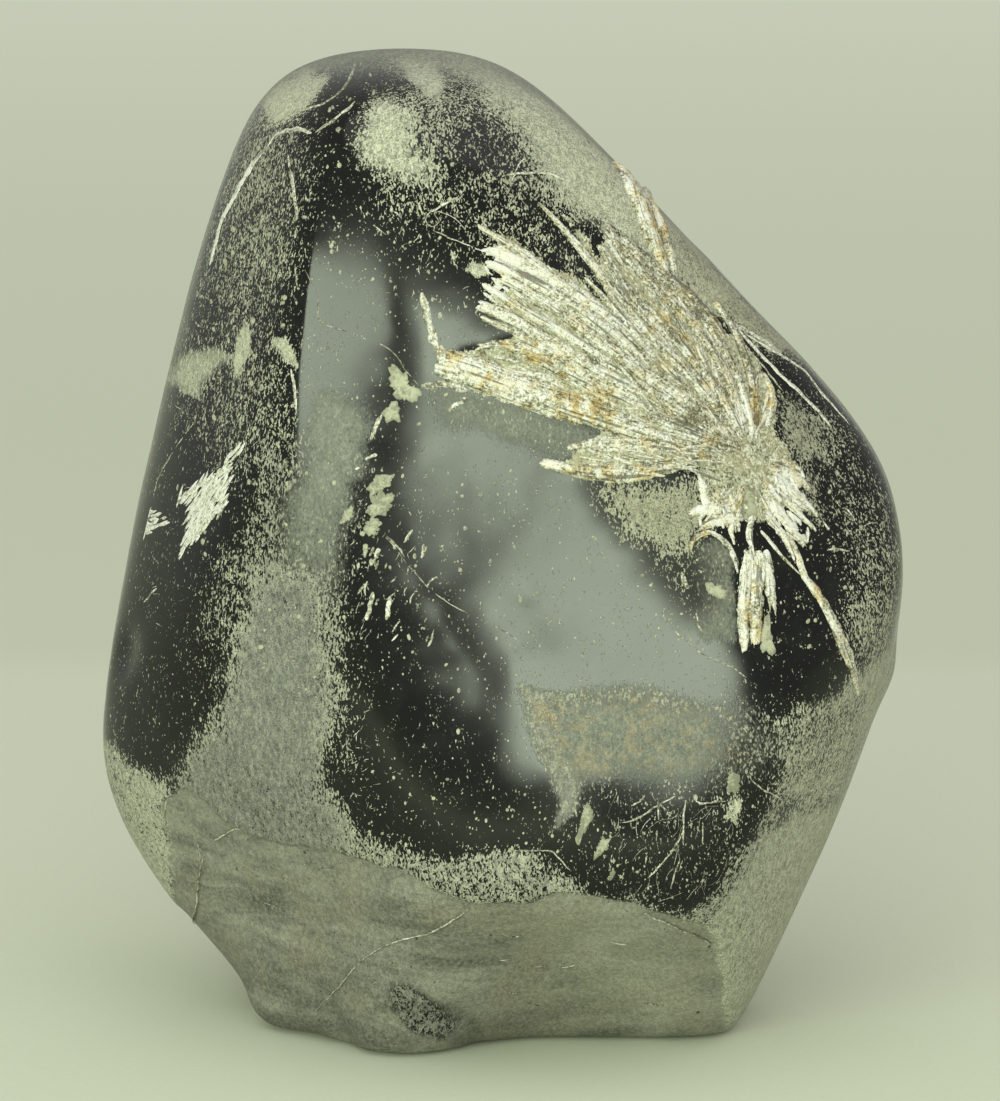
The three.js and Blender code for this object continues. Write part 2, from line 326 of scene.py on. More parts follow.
# name: pitted crust, grey haze in the polish, feather, outline
skinPatches = {
    "flankGrain": (0.48, 0.02, 10, [(-60, 228), (-46, 226), (-44, 214), (-46, 196), (-52, 181), (-66, 172),
        (-74, 184), (-68, 206)]),
    "flankLow": (0.43, 0.02, 9, [(-52, 181), (-48, 168), (-47, 150), (-62, 140), (-74, 150), (-78, 168), (-66, 176)]),
    "browGrain": (0.43, 0.02, 6, [(-30, 212), (4, 206), (16, 196), (8, 190), (-12, 196), (-30, 200)]),
    "rightGreen": (0.43, 0.12, 6, [(70, 160), (82, 152), (96, 128), (98, 104), (88, 100), (82, 116), (76, 130),
        (72, 146)]),
    "domeFringe": (0.5, 0.1, 5, [(-25, 244), (-26, 234), (-22, 229), (-30, 228), (-33, 221), (-32, 214), (-21, 209),
        (-7, 206), (1, 205), (10, 202), (23, 201), (14, 222), (0, 239)]),
    "domeHollow": (0.4, 0, 3, [(-14, 222), (-7, 224), (1, 220), (6, 213), (0, 209), (-11, 211), (-14, 217)]),
    "cheekFringe": (0.5, 0.15, 6, [(-56, 150), (-46, 152), (-36, 136), (-35, 115), (-35, 78), (-47, 114), (-61, 115),
        (-65, 102), (-69, 102), (-65, 121), (-59, 134)]),
    "waistHaze": (0.32, 0.5, 5, [(-50, 138), (-40, 150), (-36, 138), (-37, 122), (-42, 112), (-52, 118)]),
    # painted reflection: grey haze where the left strip light's reflection runs out on the polish, with a little
    # crust
    "paintedStripReflection": (0.3, 0.55, 4, [(-43.5, 163), (-36, 162), (-30, 156), (-32, 146), (-37, 135), (-42, 138),
        (-44.5, 149)]),
    "bandRight": (0.27, 1, 12, [(10, 40), (30, 42), (46, 34), (50, 22), (50, 6), (34, 4), (20, 18)]),
    "rightGrain": (0.57, 0.3, 4, [(63, 87), (69, 92), (81, 91), (87, 87), (85, 75), (82, 59), (70, 62), (62, 70)]),
    "rightSpeckle": (0.52, 0.1, 5, [(80, 116), (89, 115), (94, 104), (90, 98), (84, 96), (78, 104)]),
    "scratchGrain": (0.33, 0.1, 4, [(14, 72), (44, 76), (62, 74), (54, 54), (44, 46), (20, 52)]),
    "footEdge": (0.56, 0.15, 2.5, [(-41, 70), (-33, 61), (-23, 58), (-15, 57), (-7, 58), (1, 60), (8, 59), (14, 54),
        (22, 49), (34, 46), (43, 43), (50, 49), (56, 58), (62, 67), (68, 74), (60, 50), (50, 31), (0, 38),
        (-40, 50)]),
    "dome": (0.7, 0.75, 4, [(-14, 244), (-9, 234), (-3, 229), (2, 224), (8, 216), (13, 208), (18, 202), (23, 200),
        (32, 193), (38, 188), (46, 183), (68, 178), (82, 200), (32, 246), (14, 254)]),
    "leftCheek": (0.7, 0.4, 5, [(-66, 84), (-63, 100), (-60, 110), (-57, 118), (-50, 122), (-42, 120), (-40, 108),
        (-39, 92), (-41, 80), (-41, 70), (-36, 62), (-36, 50), (-58, 46), (-80, 56), (-76, 70), (-71, 78)]),
    "cheekHeart": (0.62, 0.85, 6, [(-60, 88), (-57, 100), (-48, 106), (-44, 96), (-46, 80), (-52, 72), (-62, 74)]),
    "leftHeel": (0.7, 0.35, 3, [(-112, 72), (-104, 68), (-97, 69), (-88, 66), (-80, 64), (-78, 50), (-80, 34),
        (-76, 10), (-70, -20), (-112, -20)]),
    "leftPits": (0.62, 0.15, 4, [(-99, 66), (-91, 66), (-84, 58), (-84, 44), (-92, 42), (-97, 54)]),
    "rightHeel": (0.68, 0.55, 2.5, [(44, -20), (47, 4), (46, 19), (45, 33), (51, 44), (60, 58), (68, 64), (80, 58),
        (92, 66), (104, 70), (104, -20)]),
    "rightRim": (0.66, 0.3, 3, [(77, 89), (81, 94), (84, 96), (90, 98), (103, 96), (103, 71), (85, 41), (80, 56),
        (84, 75), (85, 87)]),
    "lowerBand": (0.27, 1, 0.9, [(-81, 55), (-80, 60), (-75.5, 64), (-71, 61.5), (-66, 57), (-60, 54), (-52, 53),
        (-40, 54), (-23.5, 52.3), (-12, 46.4), (-5, 45), (4.2, 45.6), (13.4, 48.6), (22.6, 47.6), (34.2, 44),
        (43.7, 39.8), (50, 33.4), (52.3, 18.5), (53.2, 2), (53, -20), (-70, -20), (-78, 12), (-80, 34)]),
    "pocket": (0.29, 0.5, 1.6, [(43.6, 124.8), (45.5, 128.1), (48.9, 129.6), (52.9, 126.8), (54.2, 115.5),
        (53.6, 106.5), (45.5, 106.6), (43.6, 115.7)]),
    "crest": (0.64, 0.45, 2.5, [(35, 208), (44, 202), (60, 186), (70, 174), (70, 165), (60, 170), (50, 177),
        (41, 186), (38, 196)]),
    "rustPatch": (0.34, 0.7, 4.5, [(7, 94), (16.3, 93.5), (31.2, 95), (40.3, 92), (52, 90), (57, 84), (56, 79),
        (41.6, 76), (31.2, 77), (19, 75), (14, 80), (8, 86)]),
    "rustCrust": (0.56, 0.8, 1.6, [(4.7, 96.5), (9, 95.5), (13, 96), (17, 93), (13, 88), (14, 83), (15, 79), (18, 74),
        (16.4, 68.7), (12.1, 63.5), (13.4, 69.3), (11.9, 75.2), (10.5, 79), (5.7, 86), (5.4, 92.4)]),
    "rustEdge": (0.5, 0.5, 1.6, [(14, 95.5), (24, 95.8), (36, 95.6), (44, 93), (50, 92), (54, 88), (47, 89.5),
        (40, 91), (31, 92), (22, 91.5), (15, 92)]),
    "rustFade": (0.42, 0.3, 5, [(48, 94), (59, 91), (65, 83), (60, 76), (48, 73)]),
    "underPits": (0.42, 0.1, 5, [(30, 130), (37, 129.5), (44.3, 130), (48, 121), (46.5, 113), (42.5, 113), (38, 118),
        (33, 124)]),
    "underSpray": (0.665, 0.3, 5, [(21, 143), (28, 143.4), (38, 142), (46, 142), (48, 134), (44, 127), (37, 126.5),
        (30, 130), (23, 136.5)]),
    "broadShade": (0.31, 0.5, 4, [(-16, 163), (-7, 163), (4, 160), (13, 157), (26, 153), (18, 146), (4, 150),
        (-7, 155), (-14, 155)]),
    "fanHollow": (0.46, 0.1, 2, [(12, 197), (20, 190), (28, 178), (24, 180), (14, 189)]),
    "rightMottle": (0.6, 0.3, 3.5, [(64, 159), (70, 157), (75, 151), (76, 144), (69, 145), (66, 147), (64, 154)]),
    "lowerMottle": (0.6, 0.3, 2.5, [(70, 144), (73, 140), (74, 131), (70, 132), (69, 138)]),
    "lobePits": (0.6, -0.1, 4, [(-27, 21), (-21.6, 20.6), (-14.6, 14.8), (-10, 8), (-14.7, 3.5), (-21.7, 8),
        (-26, 14.3)]),
    "bandPits": (0.55, 0.5, 3, [(-63, 40), (-57, 38), (-50, 33), (-50, 31), (-57, 32), (-63, 35)]),
    "greyPatch": (0.6, 1, 2, [(-81, 156), (-80, 158), (-76, 163), (-68, 167), (-63, 167), (-68, 163), (-71, 159),
        (-71, 156), (-76, 156)]),
    "creamSliver": (1, 0.6, 1, [(-60, 175), (-58, 173), (-58, 169), (-60, 167), (-62, 163), (-63, 166), (-62, 170)]),
    "lowerSliver": (0.9, 0.5, 1.2, [(-53, 173), (-50, 174), (-48, 171), (-47, 168), (-50, 169), (-51, 171)]),
    "crownPatch": (0.95, 0.8, 2, [(-57, 224), (-52, 228), (-46, 231), (-41, 230), (-44, 227), (-47, 225), (-51, 222),
        (-54, 222)]),
    "palePatch": (0.66, 0.7, 4, [(-29, 227), (-26, 228), (-22, 226), (-23, 219), (-19, 215), (-15, 211), (-21, 211),
        (-27, 214), (-31, 215), (-32, 219)]),
    "palePatchTop": (0.8, 1, 1.5, [(-23, 234), (-18, 234), (-14, 232), (-14, 229), (-18, 229), (-21, 232)]),
    "edgeWhite": (1, 1, 1, [(45.3, 183.1), (48.5, 184.2), (53.1, 183.4), (56, 180.5), (53.3, 181), (51.3, 179.5),
        (47.9, 178.2), (46, 180.5)]),
    "knot": (0.7, 0.4, 1, [(50.7, 65.5), (52, 69.4), (54.6, 71.9), (55.3, 67.9), (53.3, 64.7)]),
    "leafPatch": (1, 0.7, 0.8, [(-11, 193), (-7, 192), (-4, 192), (-3, 190), (-6, 189), (-9, 191)]),
}
# the dome's share here is partly the skin's own pale colour and partly painted light: its top lightened as if lit
# from above
palePatches = {
    "bandRight": 0.38, "dome": 0.6, "palePatch": 0.9, "palePatchTop": 0.75, "crownPatch": 0.55, "creamSliver": 0.4,
    "leafPatch": 0.5, "greyPatch": 0.3, "lowerSliver": 0.3, "rightHeel": 0.25, "rightRim": 0.3, "leftHeel": 0.15,
    "edgeWhite": 1, "crest": 0.2,
}
# how far the crust keeps to the grey of the skin instead of a light fleck
calmPatches = {
    "leftCheek": 0.95, "cheekHeart": 1, "cheekFringe": 0.6, "leftHeel": 0.35, "leftPits": 0.35, "rightHeel": 0.3,
    "rightRim": 0.4, "lowerBand": 1, "rustPatch": 0.9, "rustCrust": 0.8, "rustEdge": 0.6, "footEdge": 0.45,
    "rustFade": 0.6, "waistHaze": 0.6, "paintedStripReflection": 0.5, "underSpray": 0.5, "rightMottle": 0.6, "lowerMottle": 0.6,
    "lobePits": 0.8, "bandPits": 0.8, "domeFringe": 0.3, "pocket": 0.6,
}
khakiPatches = {
    "underSpray": 1, "crest": 0.9, "rightMottle": 0.7, "lowerMottle": 0.7, "underPits": 0.75, "broadShade": 0.12,
    "fanHollow": 0.4,
}
# raised lines and grooves: width, height, path
reliefLines = {
    "hoodLip": (2.2, 0.7, [(-80.3, 54.8), (-79.5, 60.9), (-75.5, 64.4), (-71.3, 61.9), (-65.3, 57.6), (-60.1, 57.7)]),
    "hoodHollow": (4.5, -1.1, [(-74, 58), (-71, 52), (-72, 46)]),
    "toeGroove": (2.4, -2.2, [(-42.9, 10.8), (-41, 7.5), (-39.1, 4), (-37.5, 0)]),
    "toeLip": (2.5, 0.8, [(-59, 5), (-55, 7.5), (-49, 7.8), (-44, 7)]),
    "toeCrease": (1.8, -0.9, [(-57.9, 11.5), (-50.9, 12), (-44.5, 12.2), (-41, 10.5)]),
    "lobeEdge": (2.6, 0.6, [(-33.9, 22.4), (-31, 26.5), (-26.2, 29.3), (-21, 30.7), (-8, 31)]),
    "lobeCrack": (0.9, -0.5, [(-18.4, 28.1), (-17.5, 25.2), (-18, 21.6), (-16.2, 17.8), (-15, 15.5)]),
    "lobeSeam": (2.2, -1.2, [(-11, 12.5), (-7.5, 8.9), (-5.6, 5.2), (-6, 0)]),
    "bandSwirlA": (5, 0.35, [(-62, 44), (-44, 42), (-24, 38), (-4, 36), (18, 38), (40, 33)]),
    "bandSwirlB": (4, -0.35, [(-66, 36), (-46, 33), (-22, 32), (0, 27), (24, 26), (44, 20)]),
    "rightKeel": (3.5, 0.7, [(49.9, 35), (52.3, 18.5), (53.1, 2)]),
}
# outline of the fibrous bed the blades grow from
sprayBed = [
    (-3, 199.5), (2, 197), (9, 192.5), (16, 188), (23, 182), (25, 184), (15, 199), (12, 203), (15, 201.5),
    (23, 191), (23, 196), (25, 198), (30, 194), (36, 188), (44, 180), (50, 174), (56, 171), (60, 166), (63, 160),
    (63, 152), (67, 146), (69, 142), (69, 137), (65, 134), (60, 133), (54, 133), (50, 135), (47, 137), (46, 142),
    (46, 147), (35, 144), (24, 143), (13, 145.5), (17, 150), (24, 154), (12, 158), (-5, 163), (-12, 167),
    (-12, 172), (-5, 172), (0, 174.5), (5, 176), (0, 179.5), (-2, 183), (1, 186), (3, 188), (1, 191), (0, 194),
]
sprayCentre = (57.5, 146)

mesh, spots = cutCube("stoneBody", 2, enumerate(bodySettings["cuts"]))
directions = unit(spots * np.array(bodySettings["reach"], float))
radius = surfaceRadius(directions)
skinSpots = heart + directions * radius[:, None]
normals = stoneNormals(skinSpots)
frontal = eased(-normals[:, 1], -0.02, 0.25)
print("block cut:", len(mesh.vertices), "points")

drift, driftSize = bodySettings["outlineDrift"], bodySettings["driftSize"]
flat = skinSpots[:, [0, 2]] + drift * columns(waves(skinSpots, driftSize, 1), waves(skinSpots, driftSize, 2))


def strongest(marks, strengths, extra=0):
    for name, strength in strengths.items():
        feather, outline = skinPatches[name][2:]
        marks = np.maximum(marks, strength * coverage(flat, outline, feather + extra) * frontal)
    return marks


def layered(name, seed):
    layers = bodySettings[name]
    return sum(weight * waves(skinSpots, size, seed + number) for number, (size, weight) in enumerate(layers))


def backLumps(name, seed):
    # lumps that only the back and the sides carry
    strength, size, low, high = bodySettings[name]
    return strength * eased(waves(skinSpots, size, seed), low, high) * (1 - frontal)


# back and sides: matte skin with worn-through black windows
windows, patchiness = layered("windows", 3), layered("patchiness", 6)
skin, haze = 0.27 + 0.05 * patchiness, np.zeros(len(skinSpots))
for crust, grey, feather, outline in skinPatches.values():
    share = coverage(flat, outline, feather)
    skin += (crust - skin) * share
    haze += (grey - haze) * share
skin += 0.05 * patchiness * eased(skin, 0.3, 0.5)
backWear = eased(windows, -0.42, 0.1)
skin = (0.28 + 0.34 * eased(windows, -0.5, -0.12) + 0.06 * patchiness) * (1 - frontal) + skin * frontal
haze = backWear * (1 - frontal) + haze * frontal
underside = eased(-normals[:, 2], 0.75, 0.95)
haze += (1 - haze) * underside
band = coverage(flat, skinPatches["lowerBand"][3], 1.2) * frontal
# the band is carried round to the back
wanderSize, wander = bodySettings["backBandWander"]
bandTop = bodySettings["backBandTop"] + wander * waves(skinSpots, wanderSize, 13)
backBand = eased(bandTop - skinSpots[:, 2], -2, 5) * (1 - frontal)
band = np.maximum(band, 0.85 * backBand)
haze = np.maximum(haze, backBand)
pale = np.maximum(strongest(np.zeros(len(skin)), palePatches), backLumps("backPale", 14))
rust = coverage(flat, skinPatches["rustPatch"][3], 3) * frontal + backLumps("backRust", 15)
calm = strongest((0.35 + 0.4 * eased(waves(skinSpots, 30, 16), -0.6, 0.6)) * (1 - frontal), calmPatches, 1)
khaki = strongest(np.zeros(len(skin)), khakiPatches, 2)
bed = coverage(flat, sprayBed, 1.8) * frontal


def lineShare(spots, path, width):
    share = np.zeros(len(spots))
    for start, end in zip(np.array(path[:-1], float), np.array(path[1:], float)):
        step = end - start
        part = np.clip(((spots - start) @ step) / (step @ step), 0, 1)
        gap = np.linalg.norm(spots - start - part[:, None] * step, axis=1)
        share = np.maximum(share, np.exp(-(gap / width) ** 2))
    return share


relief = bodySettings["ripple"] * waves(skinSpots, bodySettings["rippleSize"], 8) + 0.02 * waves(skinSpots, 6, 11)
relief -= bodySettings["skinDrop"] * eased(haze, 0.3, 0.9) + bodySettings["ledgeDrop"] * band
relief += bed * (bodySettings["bedRise"] + 0.15 * waves(skinSpots, 3, 9))
relief += 0.35 * waves(skinSpots, 24, 10) * np.clip(band + (1 - frontal), 0, 1)
for width, height, path in reliefLines.values():
    relief += height * lineShare(skinSpots[:, [0, 2]], path, width) * frontal
radius = radius + relief
down = np.clip(-directions[:, 2], 1e-6, None)
footReach = heart[2] / down
sharp = stoneForm["footSharpness"]
radius = radius * (1 + (radius / footReach) ** sharp) ** (-1 / sharp)
spots = heart + directions * radius[:, None]
spots[:, 2] = np.clip(spots[:, 2], 0, None)
mesh.vertices.foreach_set("co", ((spots + middle) / 1000).ravel())
keepMarks(mesh, {"skin": skin, "haze": haze, "band": band, "pale": pale, "rust": rust, "khaki": khaki, "bed": bed,
                 "calm": calm})
mesh.update()
print("skin laid out")

stoneFinish = {
    "black": (0.002, 0.0023, 0.0017), "blackSoft": (0.006, 0.0068, 0.005),
    "greyDark": (0.118, 0.130, 0.108), "greyLight": (0.185, 0.198, 0.166),
    "bandDark": (0.072, 0.076, 0.066), "bandLight": (0.215, 0.216, 0.178), "bandBrown": (0.175, 0.158, 0.118),
    "fleck": (0.44, 0.435, 0.335), "pale": (0.45, 0.455, 0.355), "pit": (0.022, 0.022, 0.017),
    "rust": (0.34, 0.27, 0.16), "calm": (0.56, 0.56, 0.66), "khaki": (0.27, 0.262, 0.18),
    "bedDark": (0.085, 0.085, 0.055), "bedMiddle": (0.37, 0.362, 0.25), "bedLight": (0.67, 0.66, 0.53),
    "bedOchre": (0.40, 0.34, 0.19),
    "polish": 0.105, "matte": 0.55, "khakiRoughness": 0.55, "bedRoughness": 0.6, "ior": 1.42, "bump": 0.00012,
    "crustLine": (0.77, 0.23),     # noise level the crust starts at, bare to fully crusted
    "crustEdge": (-0.01, 0.014),
    # noise scales, per metre
    "fineGrain": 2300, "coarseGrain": 900, "clumps": 230, "pits": 330, "dust": 900, "drift": 26, "mottle": 150,
    "grit": 1100, "swirl": 20, "browning": 34, "veining": 60, "rustSpots": 340, "salt": 2900, "coarseSalt": 1000,
    "curds": 850, "ochreSpots": 170,
}


def makeStoneMaterial(colours):
    material, tree, shader = freshMaterial("polishedLimestone")
    spot = tree.nodes.new("ShaderNodeTexCoord").outputs["Object"]
    marks = ("skin", "haze", "band", "pale", "rust", "khaki", "bed", "calm")
    skin, haze, band, pale, rust, khaki, bed, calm = (marked(tree, name) for name in marks)

    # crust: fine pitted grains, drawn out a little along the lie of the stone
    leaning = placed(tree, spot, turn=(0, 0.6, 0), scale=(1, 1, 0.5))
    fine = cloud(tree, leaning, colours["fineGrain"], 1.5, 0.55, 0.5)
    coarse = cloud(tree, leaning, colours["coarseGrain"], 2, 0.55, 0.4)
    clumps = cloud(tree, spot, colours["clumps"], 2, 0.5)
    speckle = plus(tree, times(tree, fine, 0.6), times(tree, coarse, 0.27))
    speckle = plus(tree, speckle, times(tree, clumps, 0.13))
    line = span(tree, skin, 0, 1, *colours["crustLine"], soft=False)
    crust = span(tree, minus(tree, speckle, line), *colours["crustEdge"])

    # pits and dashes left in the polish
    distance, shade = cells(tree, placed(tree, spot, turn=(0.3, 0.5, 0.2), scale=(1, 1, 0.6)), colours["pits"])
    parts = tree.nodes.new("ShaderNodeSeparateColor")
    tree.links.new(shade, parts.inputs[0])
    size = times(tree, calc(tree, "POWER", parts.outputs[0], 2.5), 0.17)
    pit = times(tree, calc(tree, "LESS_THAN", distance, size), calc(tree, "GREATER_THAN", parts.outputs[1], 0.55))
    distance, shade = cells(tree, placed(tree, spot, turn=(0.1, 0.9, 0.4), scale=(1, 1, 0.8)), colours["dust"])
    small = tree.nodes.new("ShaderNodeSeparateColor")
    tree.links.new(shade, small.inputs[0])
    dust = times(tree, calc(tree, "LESS_THAN", distance, times(tree, small.outputs[0], 0.22)),
                 calc(tree, "GREATER_THAN", small.outputs[1], 0.68))
    flecks = calc(tree, "MAXIMUM", pit, dust)
    crust = calc(tree, "MAXIMUM", crust, times(tree, flecks, span(tree, haze, 0.4, 0.7, 1.0, 0.0)))
    pricks = times(tree, times(tree, flecks, span(tree, haze, 0.5, 0.8)), span(tree, clumps, 0.42, 0.6, 0.1, 0.85))

    drift = cloud(tree, spot, colours["drift"], 4, 0.55, 0.4)
    mottle = cloud(tree, spot, colours["mottle"], 4, 0.6)
    grit = cloud(tree, spot, colours["grit"], 3, 0.65)
    swirl = cloud(tree, placed(tree, spot, turn=(0, 0.12, 0), scale=(1, 1, 3.2)), colours["swirl"], 4, 0.6, 1.6)
    tone = plus(tree, times(tree, drift, 0.6), times(tree, mottle, 0.4))
    grey = tinted(tree, span(tree, tone, 0.38, 0.62), colours["greyDark"], colours["greyLight"])
    bandColour = tinted(tree, span(tree, swirl, 0.36, 0.62), colours["bandDark"], colours["bandLight"])
    browner = times(tree, span(tree, cloud(tree, spot, colours["browning"], 3, 0.6, 0.8), 0.48, 0.66), 0.7)
    bandColour = tinted(tree, browner, bandColour, colours["bandBrown"])
    veins = cloud(tree, placed(tree, spot, turn=(0, -0.2, 0), scale=(1, 1, 3.5)), colours["veining"], 5, 0.65, 2.0)
    bandColour = tinted(tree, span(tree, veins, 0.5, 0.68, 0, 0.5), bandColour, colours["bandDark"])
    grey = tinted(tree, band, grey, bandColour)
    grey = tinted(tree, span(tree, grit, 0.3, 0.72, 0.0, 0.3), grey, colours["fleck"])
    grey = tinted(tree, times(tree, pale, 0.8), grey, colours["pale"])
    grey = tinted(tree, times(tree, khaki, 0.5), grey, colours["khaki"])
    crustColour = tinted(tree, span(tree, grit, 0.35, 0.65), tinted(tree, 0.6, grey, colours["fleck"]),
                         colours["fleck"])
    calmShare = times(tree, calm, 0.88)
    calmColour = tinted(tree, span(tree, coarse, 0.35, 0.7, 0.0, 0.22),
                        tinted(tree, 1.0, grey, colours["calm"], "MULTIPLY"), colours["fleck"])
    crustColour = tinted(tree, calmShare, crustColour, calmColour)
    crustColour = tinted(tree, pale, crustColour, colours["pale"])
    crustColour = tinted(tree, times(tree, khaki, 0.7), crustColour, colours["khaki"])
    rusty = times(tree, rust, span(tree, cloud(tree, spot, colours["rustSpots"], 3, 0.65, 0.6), 0.48, 0.6, 0.0, 0.8))
    crustColour = tinted(tree, rusty, crustColour, colours["rust"])
    grey = tinted(tree, times(tree, rusty, 0.5), grey, colours["rust"])

    blackColour = tinted(tree, span(tree, mottle, 0.45, 0.7), colours["black"], colours["blackSoft"])
    dusted = plus(tree, haze, centred(tree, speckle, 1.1))
    hazy = times(tree, span(tree, dusted, 0.08, 0.72), span(tree, haze, 0.0, 0.12))
    colour = tinted(tree, hazy, blackColour, grey)
    colour = tinted(tree, crust, colour, crustColour)
    salt = plus(tree, times(tree, cloud(tree, spot, colours["salt"], 1.5, 0.6), 0.6),
                times(tree, cloud(tree, leaning, colours["coarseSalt"], 2, 0.6), 0.4))
    worn = tinted(tree, span(tree, salt, 0.38, 0.62), (0.6, 0.6, 0.6), (1.38, 1.37, 1.32))
    wornShare = calc(tree, "MAXIMUM", crust, times(tree, hazy, 0.6))
    colour = tinted(tree, wornShare, colour, tinted(tree, 1.0, colour, worn, "MULTIPLY"))
    colour = tinted(tree, pricks, colour, colours["pit"])
    matte = calc(tree, "MAXIMUM", times(tree, hazy, 0.9), crust)

    # fibrous bed round the heart of the spray
    centre = placed(tree, spot, shift=(-(sprayCentre[0] + middle[0]) / 1000, 0, -sprayCentre[1] / 1000))
    axes = tree.nodes.new("ShaderNodeSeparateXYZ")
    tree.links.new(centre, axes.inputs[0])
    angle = calc(tree, "ARCTAN2", axes.outputs[2], axes.outputs[0])
    away = calc(tree, "SQRT", plus(tree, calc(tree, "POWER", axes.outputs[0], 2),
                                   calc(tree, "POWER", axes.outputs[2], 2)))
    fan = tree.nodes.new("ShaderNodeCombineXYZ")
    tree.links.new(times(tree, angle, 46), fan.inputs[0])
    tree.links.new(times(tree, away, 260), fan.inputs[1])
    tree.links.new(times(tree, axes.outputs[1], 60), fan.inputs[2])
    fibres = cloud(tree, fan.outputs[0], 1.0, 3, 0.65)
    curds = cloud(tree, spot, colours["curds"], 3, 0.62, 1.2)
    curds = plus(tree, times(tree, curds, 0.6), times(tree, fine, 0.4))
    bedTone = blended(tree, span(tree, away, 0.006, 0.03, 0.0, 0.3), curds, fibres)
    bedColour = tinted(tree, span(tree, bedTone, 0.40, 0.48), colours["bedDark"], colours["bedMiddle"])
    bedColour = tinted(tree, span(tree, bedTone, 0.51, 0.58), bedColour, colours["bedLight"])
    ochre = span(tree, cloud(tree, spot, colours["ochreSpots"], 3, 0.6), 0.42, 0.62, 0.05, 0.6)
    ochre = times(tree, ochre, span(tree, bedTone, 0.42, 0.56, 0.8, 0.2))
    bedColour = tinted(tree, ochre, bedColour, colours["bedOchre"])
    bedShare = span(tree, plus(tree, bed, centred(tree, speckle, 1.6)), 0.42, 0.58)
    colour = tinted(tree, bedShare, colour, bedColour)
    feed(tree, shader.inputs["Base Color"], colour)

    polish = span(tree, drift, 0.35, 0.65, colours["polish"] - 0.02, colours["polish"] + 0.03)
    rough = blended(tree, matte, polish, colours["matte"])
    rough = blended(tree, times(tree, khaki, 1.3, clamp=True), rough, colours["khakiRoughness"])
    rough = blended(tree, bedShare, rough, colours["bedRoughness"])
    feed(tree, shader.inputs["Roughness"], rough)
    shader.inputs["IOR"].default_value = colours["ior"]

    pitted = plus(tree, times(tree, crust, 0.6), times(tree, hazy, -0.2))
    height = plus(tree, pitted, times(tree, times(tree, grit, matte), 0.8))
    height = plus(tree, height, times(tree, times(tree, bedTone, bedShare), 2.4))
    height = minus(tree, height, times(tree, pricks, 0.6))
    feed(tree, shader.inputs["Normal"], bumped(tree, height, colours["bump"], 0.8))
    return material


stoneBody = showPiece("stoneBody", mesh, makeStoneMaterial(stoneFinish))
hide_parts("chrysanthemum_stone")
print("stone finished")


# Strips: every blade, splinter and vein is a bar laid along a path on the stone.

def barStock(lengths, breadths):
    return cutCube("barStock", 1, ((1, lengths - 1), (0, breadths - 1)))


def routeOver(path, side=-1):
    # a smooth line through the path's points, put on the stone
    knots = np.array(path, float)
    knots = np.vstack([2 * knots[0] - knots[1], knots, 2 * knots[-1] - knots[-2]])
    pieces = [curved(*knots[index - 1:index + 3]) for index in range(1, len(knots) - 2)]
    return facePoints(np.vstack(pieces + [knots[-2][None]]), side)


def layBar(pile, stock, path, widths, proud, sink=1.2, seed=0, ragged=0.0, ridges=0.2, blunt=1.4, tail=3.0, side=-1,
           tone=0.5, stain=0.0, edge=0.3, dips=0.0, wander=0.12, wanderSize=3.0, sway=0.0, shade=0.0):
    mesh, bar = stock
    route = routeOver(path, side)
    steps = np.linalg.norm(np.diff(route, axis=0), axis=1)
    mile = np.concatenate([[0], np.cumsum(steps)])
    length = mile[-1]
    across, top = bar[:, 0], bar[:, 2] > 0
    along = (bar[:, 1] + 0.5) * length
    if ragged:
        teeth = waves(columns(across * widths[0], seed * 5.3, 0), 0.9, 1)
        teeth += 0.5 * waves(columns(across * widths[0], seed * 2.9, 0), 0.4, 2)
        along = np.clip(along + ragged * teeth * np.exp(-along / (ragged * 2.2)), -ragged * 1.4, length)
    spots = columns(*(np.interp(along, mile, line) for line in route.T))
    heads = unit(route[1] - route[0])
    spots += heads * np.minimum(along, 0)[:, None]
    ahead = columns(*(np.interp(along + 0.6, mile, line) for line in route.T))
    behind = columns(*(np.interp(along - 0.6, mile, line) for line in route.T))
    out = stoneNormals(onStone(spots))
    sideways = unit(np.cross(ahead - behind, out))
    width = np.interp(along / length, np.linspace(0, 1, len(widths)), widths)
    sides = columns(along, np.sign(across) * 9.0, seed * 1.7)
    width = width * (1 + wander * (waves(sides, wanderSize, 3) + 0.6 * waves(sides, wanderSize * 0.35, 12)))
    drift = sway * waves(columns(along, seed * 0.9, 0), 2.4, 7) if sway else 0
    spots = onStone(spots + sideways * (across * width + drift)[:, None])
    out = stoneNormals(spots)
    crown = 1 - np.abs(2 * across) ** 3
    ends = np.clip(1 - np.exp(-(along + ragged) / blunt), 0, 1) * np.clip(1 - np.exp(-(length - along) / tail), 0, 1)
    fibre = columns(across * width * 1.4, along * 0.12, seed * 3.1)
    ridge = waves(fibre, 1, 4) + 0.6 * waves(fibre * np.array([2.3, 1.7, 1]), 1, 5)
    lift = (proud * crown + ridges * ridge * crown) * ends - edge * (1 - crown) - 0.15 * (1 - ends)
    if dips:
        lift -= dips * (waves(columns(along, seed * 2.1, 0), 2.2, 6) > 0.22)
    lift = np.where(top, lift, -sink)
    spots = spots + out * lift[:, None]
    mesh.vertices.foreach_set("co", ((spots + middle) / 1000).ravel())
    pile["bm"].from_mesh(mesh)
    grooves = np.clip(0.5 + 0.5 * ridge, 0, 1)
    pile["fibre"].append(columns(along / 1000, across * width / 1000, seed * 0.37))
    local = spots[:, [0, 2]]
    pile["tone"].append(tone + 0.35 * (grooves - 0.5) - shade * np.abs(2 * across) ** 4
                        + spotField(local, brightSpots) - spotField(local, darkSpots))
    pile["stain"].append(np.clip(stain + spotField(local, ochreSpots), 0, 1))


def spotField(local, spots):
    total = np.zeros(len(local))
    for x, z, size, strength in spots:
        total += strength * np.exp(-((local[:, 0] - x) ** 2 + (local[:, 1] - z) ** 2) / size ** 2)
    return total


